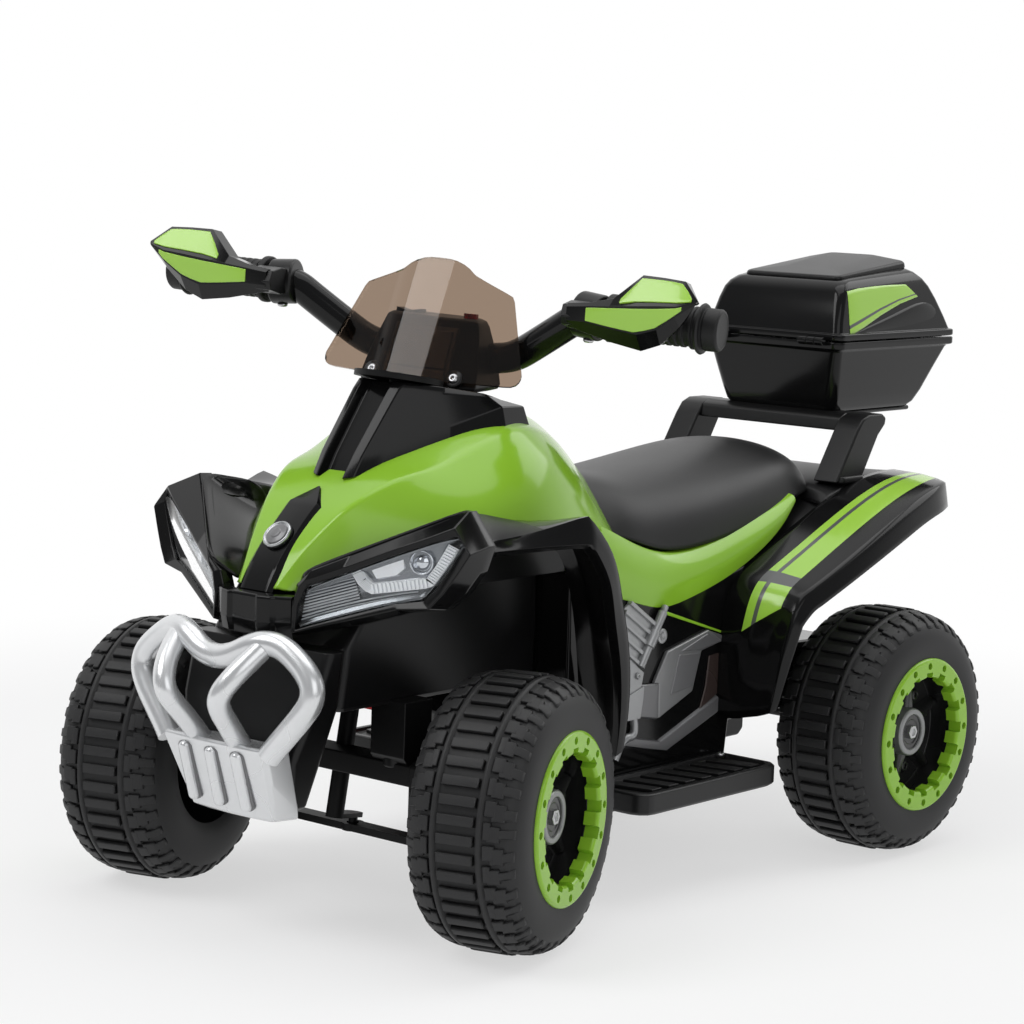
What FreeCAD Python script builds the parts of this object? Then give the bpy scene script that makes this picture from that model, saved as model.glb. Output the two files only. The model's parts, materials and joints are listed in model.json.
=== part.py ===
import FreeCAD, Part
import math
import os
import Sketcher

V = FreeCAD.Vector
doc = FreeCAD.newDocument("kids_quad_bike")

# Named sizes in millimetres, degrees or plain counts
sizes = (
    ("wheel_diameter", 180.0),
    ("tyre_width", 80.0),
    ("wheelbase", 432.0),
    ("half_track", 146.0),
    ("front_overhang", 127.0),
    ("rear_overhang", 213.0),
    ("body_half_width", 150.0),
    ("body_rise", 250.0),
    ("panel_wall", 3.0),
    ("cut_overrun", 2.0),
    ("seat_gap", 0.4),
    ("run_gap", 0.05),
    ("side_gap", 0.4),
    ("free_gap", 1.5),
    ("steer_rest_angle", 16.0),
    ("steer_tilt_angle", 10.0),
    ("steer_axis_offset", 54.0),
    ("steer_axis_height", 360.0),
    ("column_radius", 6.0),
    ("column_flange_radius", 30.0),
    ("column_flange_height", 4.0),
    ("kingpin_offset", 92.0),
    ("kingpin_radius", 4.5),
    ("barrel_radius", 11.0),
    ("beam_height", 28.0),
    ("beam_depth", 36.0),
    ("lug_height", 7.0),
    ("arm_length", 30.0),
    ("arm_width", 12.0),
    ("arm_height", 7.0),
    ("rod_drop", 36.0),
    ("rod_height", 5.0),
    ("rod_width", 12.0),
    ("rod_pin_radius", 3.0),
    ("axle_radius", 6.0),
    ("tread_height", 4.0),
    ("tread_bar_count", 32.0),
    ("tread_bar_width", 9.0),
    ("tread_band_width", 44.0),
    ("lug_count", 16.0),
    ("lug_width", 16.0),
    ("lug_length", 11.0),
    ("bead_radius", 52.0),
    ("rim_radius", 56.5),
    ("rim_inner_radius", 42.0),
    ("rim_depth", 10.0),
    ("rim_proud", 1.5),
    ("rim_hole_count", 16.0),
    ("rim_hole_radius", 2.6),
    ("rim_notch_width", 8.0),
    ("rim_notch_depth", 4.0),
    ("hub_radius", 13.0),
    ("hub_disc_width", 8.0),
    ("hub_face_inset", 15.0),
    ("spoke_window_count", 6.0),
    ("spoke_window_width", 12.0),
    ("spoke_window_length", 13.0),
    ("axle_cap_radius", 9.0),
    ("axle_cap_height", 4.0),
    ("bar_tube_radius", 10.5),
    ("bar_bend_radius", 32.0),
    ("grip_radius", 14.0),
    ("grip_length", 78.0),
    ("grip_flange_radius", 18.0),
    ("grip_flange_width", 4.0),
    ("clamp_radius", 16.0),
    ("clamp_width", 18.0),
    ("guard_wall", 4.0),
    ("screen_wall", 2.4),
    ("bumper_tube_radius", 8.5),
    ("bumper_bend_radius", 16.0),
    ("skid_wall", 9.0),
    ("skid_rib_count", 3.0),
    ("skid_rib_width", 7.0),
    ("skid_rib_height", 2.0),
    ("board_height", 15.0),
    ("board_corner_radius", 9.0),
    ("board_groove_count", 9.0),
    ("board_groove_width", 4.0),
    ("board_groove_depth", 2.0),
    ("board_rim", 8.0),
    ("cover_wall", 5.0),
    ("cover_fin_count", 5.0),
    ("cover_fin_width", 4.0),
    ("cover_boss_height", 3.0),
    ("pedal_width", 34.0),
    ("pedal_length", 56.0),
    ("pedal_wall", 5.0),
    ("pedal_pin_radius", 2.5),
    ("pedal_lug_width", 5.0),
    ("pedal_rise", 14.0),
    ("pedal_tilt_angle", 14.0),
    ("plunger_radius", 5.0),
    ("battery_width", 70.0),
    ("battery_length", 96.0),
    ("battery_height", 72.0),
    ("gear_module", 1.0),
    ("output_teeth", 44.0),
    ("reduction_teeth", 40.0),
    ("lay_teeth", 12.0),
    ("pinion_teeth", 10.0),
    ("gear_width", 8.0),
    ("gear_backlash", 0.25),
    ("gear_inset", 60.0),
    ("lay_pin_radius", 2.5),
    ("motor_radius", 14.0),
    ("motor_length", 38.0),
    ("motor_shaft_radius", 1.6),
    ("case_wall", 2.5),
    ("case_margin", 4.0),
    ("sleeve_radius", 10.0),
    ("hinge_pin_radius", 2.0),
    ("hinge_ear_radius", 5.0),
    ("hinge_ear_width", 14.0),
    ("hinge_spread", 30.0),
    ("lid_gap", 0.6),
    ("lens_wall", 3.0),
    ("lamp_depth", 14.0),
    ("badge_radius", 9.5),
    ("badge_height", 2.0),
    ("button_radius", 5.0),
    ("button_height", 6.0),
    ("switch_length", 18.0),
    ("switch_width", 10.0),
    ("rack_leg_width", 22.0),
    ("rack_leg_depth", 24.0),
    ("rack_beam_height", 14.0),
    ("edge_round", 2.5),
)

sheet = doc.addObject("Spreadsheet::Sheet", "Sizes")
for row, (name, value) in enumerate(sizes, start=1):
    sheet.set("A%d" % row, name)
    sheet.set("B%d" % row, repr(value))
    sheet.setAlias("B%d" % row, name)
doc.recompute()


def size(name):
    return float(getattr(sheet, name))


def cell(name):
    return "Sizes." + name


# Style frame: shares of half width, wheelbase and body rise, measured from the front axle
wheel_radius = size("wheel_diameter") / 2
base = size("wheelbase")
half_body = size("body_half_width")
rise = size("body_rise")
wall = size("panel_wall")
over = size("cut_overrun")
gap = size("seat_gap")
whole = size("front_overhang") + base + size("rear_overhang")
front_y = size("front_overhang") - whole / 2
rear_y = front_y + base
made = []


def across(share):
    return share * half_body


def along(share):
    return front_y + share * base


def up(share):
    return wheel_radius + share * rise


def spot(x_share, y_share, z_share):
    return V(across(x_share), along(y_share), up(z_share))


def polygon(points):
    return Part.makePolygon(list(points) + [points[0]])


def prism(points, direction):
    return Part.Face(polygon(points)).extrude(direction)


def loft(wires, ruled=False):
    return Part.makeLoft(wires, True, ruled)


def mirror(shape):
    return shape.mirror(V(0, 0, 0), V(1, 0, 0))


def cylinder(radius, start, end):
    step = end - start
    return Part.makeCylinder(radius, step.Length, start, step)


def box(low, high):
    step = high - low
    return Part.makeBox(step.x, step.y, step.z, low)


def largest(shape):
    solids = sorted(shape.Solids, key=lambda s: s.Volume)
    return solids[-1]


def feature(name, shape, placement=None):
    node = doc.addObject("Part::Feature", name)
    node.Label = name
    node.Shape = shape
    if placement is not None:
        node.Placement = placement.multiply(node.Placement)
    made.append(node)
    return node


# Sketch helpers for the bodies
def origin_part(body, role):
    return next(item for item in body.Origin.OriginFeatures if item.Role == role)


def new_body(name):
    body = doc.addObject("PartDesign::Body", name)
    body.Label = name
    made.append(body)
    return body


def new_sketch(body, role, lift=None):
    sketch = body.newObject("Sketcher::SketchObject", "Profile")
    sketch.AttachmentSupport = [(origin_part(body, role), "")]
    sketch.MapMode = "FlatFace"
    if lift is not None:
        sketch.setExpression("AttachmentOffset.Base.z", lift)
    return sketch


def number(sketch, text):
    found = sketch.evalExpression(text)
    return float(getattr(found, "Value", found))


def pin_point(sketch, line, point, x_text, y_text, place):
    for kind, text, value, axis in (
        ("DistanceX", x_text, place.x, -2),
        ("DistanceY", y_text, place.y, -1),
    ):
        if text == "0":
            sketch.addConstraint(Sketcher.Constraint("PointOnObject", line, point, axis))
        else:
            index = sketch.addConstraint(Sketcher.Constraint(kind, -1, 1, line, point, value))
            sketch.setExpression("Constraints[%d]" % index, text)


def draw_loop(sketch, points):
    places = [V(number(sketch, x), number(sketch, y), 0) for x, y in points]
    first = sketch.GeometryCount
    total = len(points)
    for item in range(total):
        sketch.addGeometry(Part.LineSegment(places[item], places[(item + 1) % total]), False)
    for item in range(total):
        after = first + (item + 1) % total
        sketch.addConstraint(Sketcher.Constraint("Coincident", first + item, 2, after, 1))
    for item, (x_text, y_text) in enumerate(points):
        pin_point(sketch, first + item, 1, x_text, y_text, places[item])


def draw_circle(sketch, x_text, y_text, radius_text):
    place = V(number(sketch, x_text), number(sketch, y_text), 0)
    radius = number(sketch, radius_text)
    item = sketch.addGeometry(Part.Circle(place, V(0, 0, 1), radius), False)
    pin_point(sketch, item, 3, x_text, y_text, place)
    index = sketch.addConstraint(Sketcher.Constraint("Radius", item, radius))
    sketch.setExpression("Constraints[%d]" % index, radius_text)


def rectangle(x_low, y_low, x_high, y_high):
    return ((x_low, y_low), (x_high, y_low), (x_high, y_high), (x_low, y_high))


def pad(body, sketch, length, midplane=False, backward=False):
    step = body.newObject("PartDesign::Pad", "Pad")
    step.Profile = sketch
    step.setExpression("Length", length)
    step.Midplane = midplane
    step.Reversed = backward
    body.Tip = step
    return step


def pocket(body, sketch, length=None, midplane=False, backward=False):
    step = body.newObject("PartDesign::Pocket", "Pocket")
    step.Profile = sketch
    if length is None:
        step.Type = "ThroughAll"
    else:
        step.setExpression("Length", length)
    step.Midplane = midplane
    step.Reversed = backward
    body.Tip = step
    return step


def revolve(body, sketch, role):
    step = body.newObject("PartDesign::Revolution", "Turned")
    step.Profile = sketch
    step.ReferenceAxis = (origin_part(body, role), [""])
    step.Angle = 360
    body.Tip = step
    return step


def polar(body, steps, role, count):
    step = body.newObject("PartDesign::PolarPattern", "Around")
    step.Originals = steps
    step.Axis = (origin_part(body, role), [""])
    step.Angle = 360
    step.setExpression("Occurrences", count)
    body.Tip = step
    return step


def linear(body, steps, role, length, count):
    step = body.newObject("PartDesign::LinearPattern", "Row")
    step.Originals = steps
    step.Direction = (origin_part(body, role), [""])
    step.setExpression("Length", length)
    step.setExpression("Occurrences", count)
    body.Tip = step
    return step


def fillet(body, step, radius, choose):
    doc.recompute()
    names = ["Edge%d" % (i + 1) for i, edge in enumerate(step.Shape.Edges) if choose(edge)]
    blend = body.newObject("PartDesign::Fillet", "Round")
    blend.Base = (step, names)
    blend.setExpression("Radius", radius)
    body.Tip = blend
    return blend


def along_axis(edge, direction):
    ends = edge.Vertexes
    if len(ends) < 2 or not isinstance(edge.Curve, Part.Line):
        return False
    step = (ends[1].Point - ends[0].Point).normalize()
    return abs(step.dot(direction)) > 0.999


# Steering axis, its turn at rest, and the kingpin turns
tilt = math.radians(size("steer_tilt_angle"))
steer_axis = V(0, math.sin(tilt), math.cos(tilt))
steer_point = V(0, front_y + size("steer_axis_offset"), size("steer_axis_height"))
rest_turn = size("steer_rest_angle")
steer_turn = FreeCAD.Placement(V(0, 0, 0), FreeCAD.Rotation(steer_axis, rest_turn), steer_point)


def on_steer_axis(height):
    return steer_point + steer_axis * ((height - steer_point.z) / steer_axis.z)


def king_turn(side):
    pivot = V(side * size("kingpin_offset"), front_y, 0)
    return FreeCAD.Placement(V(0, 0, 0), FreeCAD.Rotation(V(0, 0, 1), rest_turn), pivot)


# Lower body: one open tub behind the steering bay
tub_half_share = 0.587
tub_front_share = 0.31
tub_shares = (
    (0.31, -0.152, 0.46),
    (0.53, -0.152, 0.42),
    (0.715, -0.152, 0.496),
    (0.926, -0.14, 0.64),
    (1.09, -0.14, 0.66),
    (1.222, 0.24, 0.66),
)
tub_corner_share = 0.08


def tub_loft(inset, lift):
    wires = []
    half = across(tub_half_share) - inset
    corner = across(tub_corner_share)
    for item, (y_share, low_share, top_share) in enumerate(tub_shares):
        y = along(y_share)
        if item == 0:
            y = y + inset
        if item == len(tub_shares) - 1:
            y = y - inset
        low = up(low_share) + inset
        top = up(top_share) + lift
        wires.append(polygon((
            V(-half, y, top), V(-half, y, low + corner), V(-half + corner, y, low),
            V(half - corner, y, low), V(half, y, low + corner), V(half, y, top))))
    return loft(wires, True)


tub_solid = tub_loft(0, 0)
tub_shape = tub_solid.cut(tub_loft(wall, over))
rear_centre = V(0, rear_y, wheel_radius)
reach = V(half_body, 0, 0)
tub_shape = tub_shape.cut(cylinder(size("axle_radius"), rear_centre - reach, rear_centre + reach))
sleeve_room = size("sleeve_radius") + size("free_gap")
tub_shape = tub_shape.cut(cylinder(sleeve_room, rear_centre - reach, rear_centre - reach * 0.5))

# Steering bay: open box between the front wheels
bay_shares = (
    (-0.171, -0.02, 0.24, 0.40, 0.40),
    (-0.09, 0.10, 0.34, 0.40, 0.54),
    (0.14, 0.10, 0.37, 0.40, 0.60),
    (0.31, 0.10, 0.46, 0.46, 0.60),
)


def bay_loft(inset, lift):
    wires = []
    for item, (y_share, low_share, low_half, top_half, top_share) in enumerate(bay_shares):
        y = along(y_share)
        if item == 0:
            y = y + inset
        if item == len(bay_shares) - 1:
            y = y - inset
        low = up(low_share) + inset
        top = up(top_share) + lift
        wires.append(polygon((
            V(-across(top_half) + inset, y, top), V(-across(low_half) + inset, y, low),
            V(across(low_half) - inset, y, low), V(across(top_half) - inset, y, top))))
    return loft(wires, True)


bay_solid = bay_loft(0, 0)
column_room = cylinder(
    size("column_radius") + size("free_gap"), on_steer_axis(0), on_steer_axis(up(1.2)))
bay_shape = bay_solid.cut(bay_loft(wall, over)).cut(column_room)

# Hood: crowned shell, sections from the lower edge to the ridge
hood_shares = (
    (-0.176, ((0.20, 0.525), (0.17, 0.545), (0.10, 0.555), (0, 0.56))),
    (-0.104, ((0.36, 0.61), (0.29, 0.665), (0.13, 0.70), (0, 0.71))),
    (-0.014, ((0.53, 0.67), (0.44, 0.745), (0.20, 0.815), (0, 0.83))),
    (0.104, ((0.65, 0.695), (0.56, 0.79), (0.30, 0.91), (0, 0.935))),
    (0.231, ((0.69, 0.70), (0.61, 0.81), (0.36, 0.95), (0, 0.99))),
    (0.347, ((0.665, 0.675), (0.60, 0.79), (0.36, 0.935), (0, 0.985))),
    (0.451, ((0.57, 0.65), (0.52, 0.745), (0.305, 0.855), (0, 0.905))),
    (0.523, ((0.505, 0.62), (0.44, 0.69), (0.24, 0.76), (0, 0.79))),
)


def arch_wire(y, half, low):
    points = [V(x, y, z) for x, z in half]
    points = points + [V(-x, y, z) for x, z in reversed(half[:-1])]
    curve = Part.BSplineCurve()
    curve.interpolate(points)
    floor = (V(points[-1].x, y, low), V(points[0].x, y, low))
    edges = [
        curve.toShape(), Part.LineSegment(points[-1], floor[0]).toShape(),
        Part.LineSegment(floor[0], floor[1]).toShape(),
        Part.LineSegment(floor[1], points[0]).toShape()]
    return Part.Wire(edges)


def arch_loft(table, inset, drop):
    wires = []
    for y_share, half in table:
        places = [(across(x), up(z)) for x, z in half]
        low = places[0][1]
        wide = places[0][0]
        tall = places[-1][1] - low
        shrink_x = 1 - inset / wide
        shrink_z = 1 - min(inset / tall, 0.9)
        places = [(x * shrink_x, low + (z - low) * shrink_z) for x, z in places]
        wires.append(arch_wire(along(y_share), places, low - drop))
    return loft(wires)


hood_solid = arch_loft(hood_shares, 0, wall)
hood_room = arch_loft(hood_shares, wall, wall + over)
hood_shape = largest(hood_solid.cut(hood_room))
hood_hole = cylinder(size("column_radius") * 2.2, on_steer_axis(up(0.5)), on_steer_axis(up(1.2)))
hood_shape = hood_shape.cut(hood_hole)

# Nose strip: thin band laid on the front of the hood, with a round raised badge
strip_shares = ((0.105, -0.18), (0.12, -0.11), (0.07, -0.055), (0, -0.05))
strip_points = [V(across(x), along(y), up(0)) for x, y in strip_shares]
strip_points = strip_points + [V(-p.x, p.y, p.z) for p in reversed(strip_points[:-1])]
strip_column = prism(strip_points, V(0, 0, rise))
strip_shape = hood_solid.translated(V(0, -wall / 2, wall / 2)).common(strip_column)
strip_shape = largest(strip_shape.cut(hood_solid))
badge_foot = spot(0, -0.127, 0.668)
badge_line = V(0, -0.75, 0.66)
badge = cylinder(size("badge_radius"), badge_foot - badge_line * wall, badge_foot + badge_line * wall * 1.4)
strip_shape = strip_shape.fuse(badge.cut(hood_solid))

# Front mask with the lamp openings
mask_shares = (
    (0, -0.185, 0.40, -0.19, 0.53),
    (0.27, -0.185, 0.41, -0.162, 0.565),
    (0.633, -0.139, 0.49, -0.083, 0.70),
    (0.873, -0.097, 0.56, -0.05, 0.75),
)
lamp_shares = (
    (0.27, 0.455), (0.29, 0.54), (0.62, 0.655), (0.84, 0.715), (0.855, 0.66), (0.76, 0.565), (0.45, 0.47))


def mask_loft(shift):
    wires = []
    depth = size("lamp_depth")
    rows = [(-x, a, b, c, d) for x, a, b, c, d in reversed(mask_shares[1:])] + list(mask_shares)
    for x_share, low_y, low_z, top_y, top_z in rows:
        x = across(x_share)
        low = V(x, along(low_y) + shift, up(low_z))
        top = V(x, along(top_y) + shift, up(top_z))
        wires.append(polygon((low, top, top + V(0, depth, 0), low + V(0, depth, 0))))
    return loft(wires, True)


def lamp_prism(inset):
    points = [V(across(x), along(-0.4), up(z)) for x, z in lamp_shares]
    wire = polygon(points)
    if inset:
        wire = wire.makeOffset2D(-inset)
    return Part.Face(wire).extrude(V(0, base * 0.6, 0))


mask_raw = mask_loft(0)
lamp_cut = lamp_prism(0)
mask_shape = mask_raw.cut(lamp_cut).cut(mirror(lamp_cut)).cut(hood_solid).cut(bay_solid)
strip_shape = largest(strip_shape.cut(mask_raw))
lamp_core = lamp_prism(gap)
lens_shape = mask_raw.common(lamp_core).cut(mask_loft(size("lens_wall")))
bowl_shift = size("lens_wall") * 2.5
bowl_shape = mask_loft(bowl_shift).common(lamp_core).common(mask_raw)
bowl_shape = bowl_shape.cut(hood_solid)

# Front fenders: wing over the wheel and the leg shield behind it
wing_shares = (
    (-0.05, (0.60, 0.72), (0.827, 0.76), (0.873, 0.69)),
    (0.01, (0.63, 0.705), (0.84, 0.69), (0.873, 0.625)),
    (0.093, (0.64, 0.705), (0.94, 0.71), (0.953, 0.64)),
    (0.178, (0.66, 0.71), (1.0, 0.75), (1.013, 0.655)),
    (0.243, (0.66, 0.69), (1.0, 0.69), (1.0, 0.585)),
    (0.31, (0.66, 0.60), (0.973, 0.545), (0.973, 0.46)),
)
shield_shares = ((0.47, 0.70), (0.68, 0.66), (0.973, 0.545), (0.93, 0.32), (0.84, 0.09), (0.47, 0.09))


def wing_loft(table):
    wires = []
    for y_share, inner, outer, low in table:
        y = along(y_share)
        points = [V(across(x), y, up(z)) for x, z in (inner, outer, low)]
        back = [points[2] - V(wall, 0, 0), points[1] - V(wall, 0, wall), points[0] - V(0, 0, wall)]
        wires.append(polygon(points + back))
    return loft(wires, True)


shield_y = along(tub_front_share) - wall
shield = prism([V(across(x), shield_y, up(z)) for x, z in shield_shares], V(0, wall, 0))
wing_shape = wing_loft(wing_shares).fuse(shield)
wing_shape = wing_shape.cut(hood_solid).cut(mask_raw).cut(bay_solid).cut(tub_solid)
wing_shape = largest(wing_shape)

# Steering cowl on the hood: two flat outlines joined by facets
cowl_low_shares = ((0.09, -0.035), (0.30, 0.085), (0.45, 0.20), (0.40, 0.265))
cowl_top_shares = ((0.10, 0.075), (0.24, 0.13), (0.32, 0.21), (0.29, 0.245))
cowl_top_height = 1.056
cowl_top_slope = -math.tan(tilt) * base / rise


def cowl_wire(table, height, slope, start):
    points = [spot(x, y, height + (y - start) * slope) for x, y in table]
    points = points + [V(-p.x, p.y, p.z) for p in reversed(points)]
    return polygon(points)


cowl_shape = loft([
    cowl_wire(cowl_low_shares, 0.74, 0.48, -0.035),
    cowl_wire(cowl_top_shares, cowl_top_height, cowl_top_slope, 0.075)], True)
cowl_shape = largest(cowl_shape.cut(hood_solid).cut(hood_hole))

# Rear deck, rear fenders and the rack
deck_low = up(0.66)
deck_shares = ((0.62, 1.00), (0.62, 1.16), (0.40, 1.255))
deck_points = [V(across(x), along(y), deck_low) for x, y in deck_shares]
deck_points = deck_points + [V(-p.x, p.y, p.z) for p in reversed(deck_points)]
deck_shape = prism(deck_points, V(0, 0, wall * 2))

rear_shares = (
    (0.695, (0.57, 0.35), (1.06, 0.37), (1.067, 0.30)),
    (0.745, (0.57, 0.49), (1.08, 0.50), (1.087, 0.40)),
    (0.926, (0.57, 0.62), (1.067, 0.605), (1.073, 0.50)),
    (1.15, (0.57, 0.695), (1.013, 0.675), (1.02, 0.585)),
    (1.245, (0.57, 0.69), (0.90, 0.66), (0.91, 0.60)),
)
toe_shares = ((0.57, 0.49), (1.06, 0.37), (1.0, 0.09), (0.57, 0.05))
toe_y = along(0.695)
toe = prism([V(across(x), toe_y, up(z)) for x, z in toe_shares], V(0, wall, 0))
rear_shape = wing_loft(rear_shares).fuse(toe).cut(tub_solid).cut(deck_shape)
rear_shape = largest(rear_shape)

# Side panels between the tub edge and the seat
panel_half = across(tub_half_share)
panel_depth = across(0.055)
panel_shares = (
    (0.33, 0.455), (0.53, 0.42), (0.715, 0.496), (0.926, 0.64), (0.93, 0.665),
    (0.74, 0.60), (0.555, 0.57), (0.45, 0.63), (0.40, 0.69), (0.33, 0.70))
panel_shape = prism(
    [V(panel_half - panel_depth, along(y), up(z)) for y, z in panel_shares], V(panel_depth, 0, 0))
panel_shape = panel_shape.cut(hood_solid).cut(tub_solid).cut(wing_shape).cut(rear_shape).cut(deck_shape)
panel_shape = largest(panel_shape)

# Seat: crowned cushion, lower edges resting on the panels and the tub
seat_shares = (
    (0.46, ((0.44, 0.60), (0.38, 0.72), (0.22, 0.80), (0, 0.82))),
    (0.56, ((0.52, 0.54), (0.50, 0.66), (0.30, 0.75), (0, 0.77))),
    (0.74, ((0.55, 0.56), (0.52, 0.67), (0.33, 0.76), (0, 0.78))),
    (0.92, ((0.52, 0.62), (0.49, 0.73), (0.30, 0.81), (0, 0.83))),
    (1.01, ((0.40, 0.66), (0.37, 0.75), (0.20, 0.80), (0, 0.81))),
)
seat_shape = arch_loft(seat_shares, 0, wall)
seat_shape = seat_shape.cut(hood_solid).cut(panel_shape).cut(mirror(panel_shape)).cut(deck_shape)
seat_shape = largest(seat_shape.cut(tub_solid).cut(arch_loft(seat_shares, wall, wall + over)))

# Tubes: straight runs joined by arcs
def tube_path(points, bend):
    edges = []
    start = points[0]
    for item in range(1, len(points) - 1):
        corner = points[item]
        to_last = (points[item - 1] - corner).normalize()
        to_next = (points[item + 1] - corner).normalize()
        half = math.acos(max(-1.0, min(1.0, to_last.dot(to_next)))) / 2
        trim = bend / math.tan(half)
        middle = (to_last + to_next).normalize()
        crown = corner + middle * (bend / math.sin(half) - bend)
        first = corner + to_last * trim
        second = corner + to_next * trim
        edges.append(Part.LineSegment(start, first).toShape())
        edges.append(Part.Arc(first, crown, second).toShape())
        start = second
    edges.append(Part.LineSegment(start, points[-1]).toShape())
    return Part.Wire(edges)


def tube(points, bend, radius):
    path = tube_path(points, bend)
    ring = Part.Wire([Part.Circle(points[0], points[1] - points[0], radius).toShape()])
    return path.makePipeShell([ring], True, True)


def both_sides(points):
    return points + [V(-p.x, p.y, p.z) for p in reversed(points[:-1])]


# Bumper bar and skid plate
bar_shares = ((0.25, -0.259, 0.16), (0.56, -0.232, 0.304), (0.30, -0.245, 0.47), (0, -0.269, 0.36))
post_shares = ((0.17, -0.258, 0.41), (0.085, -0.278, 0.25), (0.115, -0.270, 0.15))
bumper_radius = size("bumper_tube_radius")
bumper_bend = size("bumper_bend_radius")
bumper = tube(both_sides([spot(*row) for row in bar_shares]), bumper_bend, bumper_radius)
post = tube([spot(*row) for row in post_shares], bumper_bend, bumper_radius * 0.9)
stay = cylinder(bumper_radius * 0.6, spot(0.33, -0.235, 0.43), spot(0.30, -0.14, 0.34))
skid_low = [spot(*row) for row in ((0.25, -0.218, -0.03), (0.25, -0.15, -0.03))]
skid_top = [spot(*row) for row in ((0.32, -0.266, 0.165), (0.32, -0.15, 0.165))]
skid_core = loft([
    polygon([skid_low[0], skid_low[1], V(-skid_low[1].x, skid_low[1].y, skid_low[1].z),
             V(-skid_low[0].x, skid_low[0].y, skid_low[0].z)]),
    polygon([skid_top[0], skid_top[1], V(-skid_top[1].x, skid_top[1].y, skid_top[1].z),
             V(-skid_top[0].x, skid_top[0].y, skid_top[0].z)])], True)
skid_shape = skid_core
face_up = V(0, skid_top[0].y - skid_low[0].y, skid_top[0].z - skid_low[0].z)
face_out = V(0, -face_up.z, face_up.y).normalize()
rib_half = size("skid_rib_width") / 2
for rib in range(int(size("skid_rib_count"))):
    shift = (rib - (size("skid_rib_count") - 1) / 2) * across(0.15)
    foot = V(shift * 0.9, skid_low[0].y, skid_low[0].z) + face_up * 0.16
    crown = V(shift * 1.15, skid_low[0].y, skid_low[0].z) + face_up * 0.80
    corners = [
        foot - V(rib_half, 0, 0), foot + V(rib_half, 0, 0), crown + V(rib_half, 0, 0),
        crown - V(rib_half, 0, 0)]
    raised = prism([p - face_out * over for p in corners], face_out * (size("skid_rib_height") + over))
    skid_shape = skid_shape.fuse(raised)
skid_shape = skid_shape.cut(bay_solid)
bumper_shape = bumper.fuse(
    [post, mirror(post), stay, mirror(stay)]).cut(skid_core).cut(bay_solid).cut(mask_raw)
bumper_shape = largest(bumper_shape)
mask_shape = mask_shape.cut(bumper_shape)

# Front axle beam with two forked ends
king_x = size("kingpin_offset")
beam_half = size("beam_height") / 2
barrel = size("barrel_radius")
block_half = king_x - barrel - size("free_gap") * 4
beam_y = size("beam_depth") / 2
bay_floor = up(bay_shares[1][1])
axle_z = wheel_radius
beam_shape = box(
    V(-block_half, front_y - beam_y, axle_z - beam_half), V(block_half, front_y + beam_y, axle_z + beam_half))
beam_shape = beam_shape.fuse(box(
    V(-block_half * 0.5, front_y - beam_y, axle_z), V(block_half * 0.5, front_y + beam_y, bay_floor)))
for side in (-1, 1):
    for lift in (-1, 1):
        low = axle_z + lift * beam_half
        high = low + lift * size("lug_height")
        plate = box(
            V(-king_x - barrel, front_y - barrel, min(low, high)),
            V(king_x + barrel, front_y + barrel, max(low, high)))
        beam_shape = beam_shape.fuse(plate)
king_bore = size("kingpin_radius") + size("run_gap")
for side in (-1, 1):
    middle = V(side * king_x, front_y, axle_z)
    tall = V(0, 0, axle_z * 0.8)
    beam_shape = beam_shape.cut(cylinder(king_bore, middle - tall, middle + tall))
column_bore = size("column_radius") + size("run_gap")
beam_shape = beam_shape.cut(cylinder(column_bore, on_steer_axis(0), on_steer_axis(up(0.6)))).removeSplitter()

# Knuckle: barrel and kingpin, stub axle with shoulder and nut, steering arm with its pin
hub_inner = -size("tyre_width") / 2 + wall
hub_outer = size("tyre_width") / 2 - size("hub_face_inset") - wall
side_gap = size("side_gap")
rod_z = axle_z - size("rod_drop")


def knuckle(side):
    middle = V(side * king_x, front_y, axle_z)
    up_step = V(0, 0, beam_half - side_gap)
    shape = cylinder(barrel, middle - up_step, middle + up_step)
    pin_step = V(0, 0, beam_half + size("lug_height") + wall)
    shape = shape.fuse(cylinder(size("kingpin_radius"), middle - pin_step, middle + pin_step))
    out = V(side, 0, 0)
    wheel_mid = V(side * size("half_track"), front_y, axle_z)
    shape = shape.fuse(cylinder(size("axle_radius") * 1.5, middle, wheel_mid + out * (hub_inner - side_gap)))
    tip = wheel_mid + out * (hub_outer + side_gap)
    cap = tip + out * size("axle_cap_height")
    shape = shape.fuse(cylinder(size("axle_radius"), middle, cap))
    shape = shape.fuse(cylinder(size("axle_cap_radius"), tip, cap))
    low = axle_z - beam_half + side_gap
    half = size("arm_width") / 2
    arm_end = V(side * king_x, front_y + size("arm_length"), low)
    arm = box(
        V(side * king_x - half, front_y, low), V(side * king_x + half, arm_end.y, low + size("arm_height")))
    arm = arm.fuse(cylinder(half, arm_end, arm_end + V(0, 0, size("arm_height"))))
    pin = cylinder(
        size("rod_pin_radius"), V(arm_end.x, arm_end.y, rod_z - size("rod_height") - wall),
        V(arm_end.x, arm_end.y, low + size("arm_height")))
    return shape.fuse([arm, pin]).removeSplitter()


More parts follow.
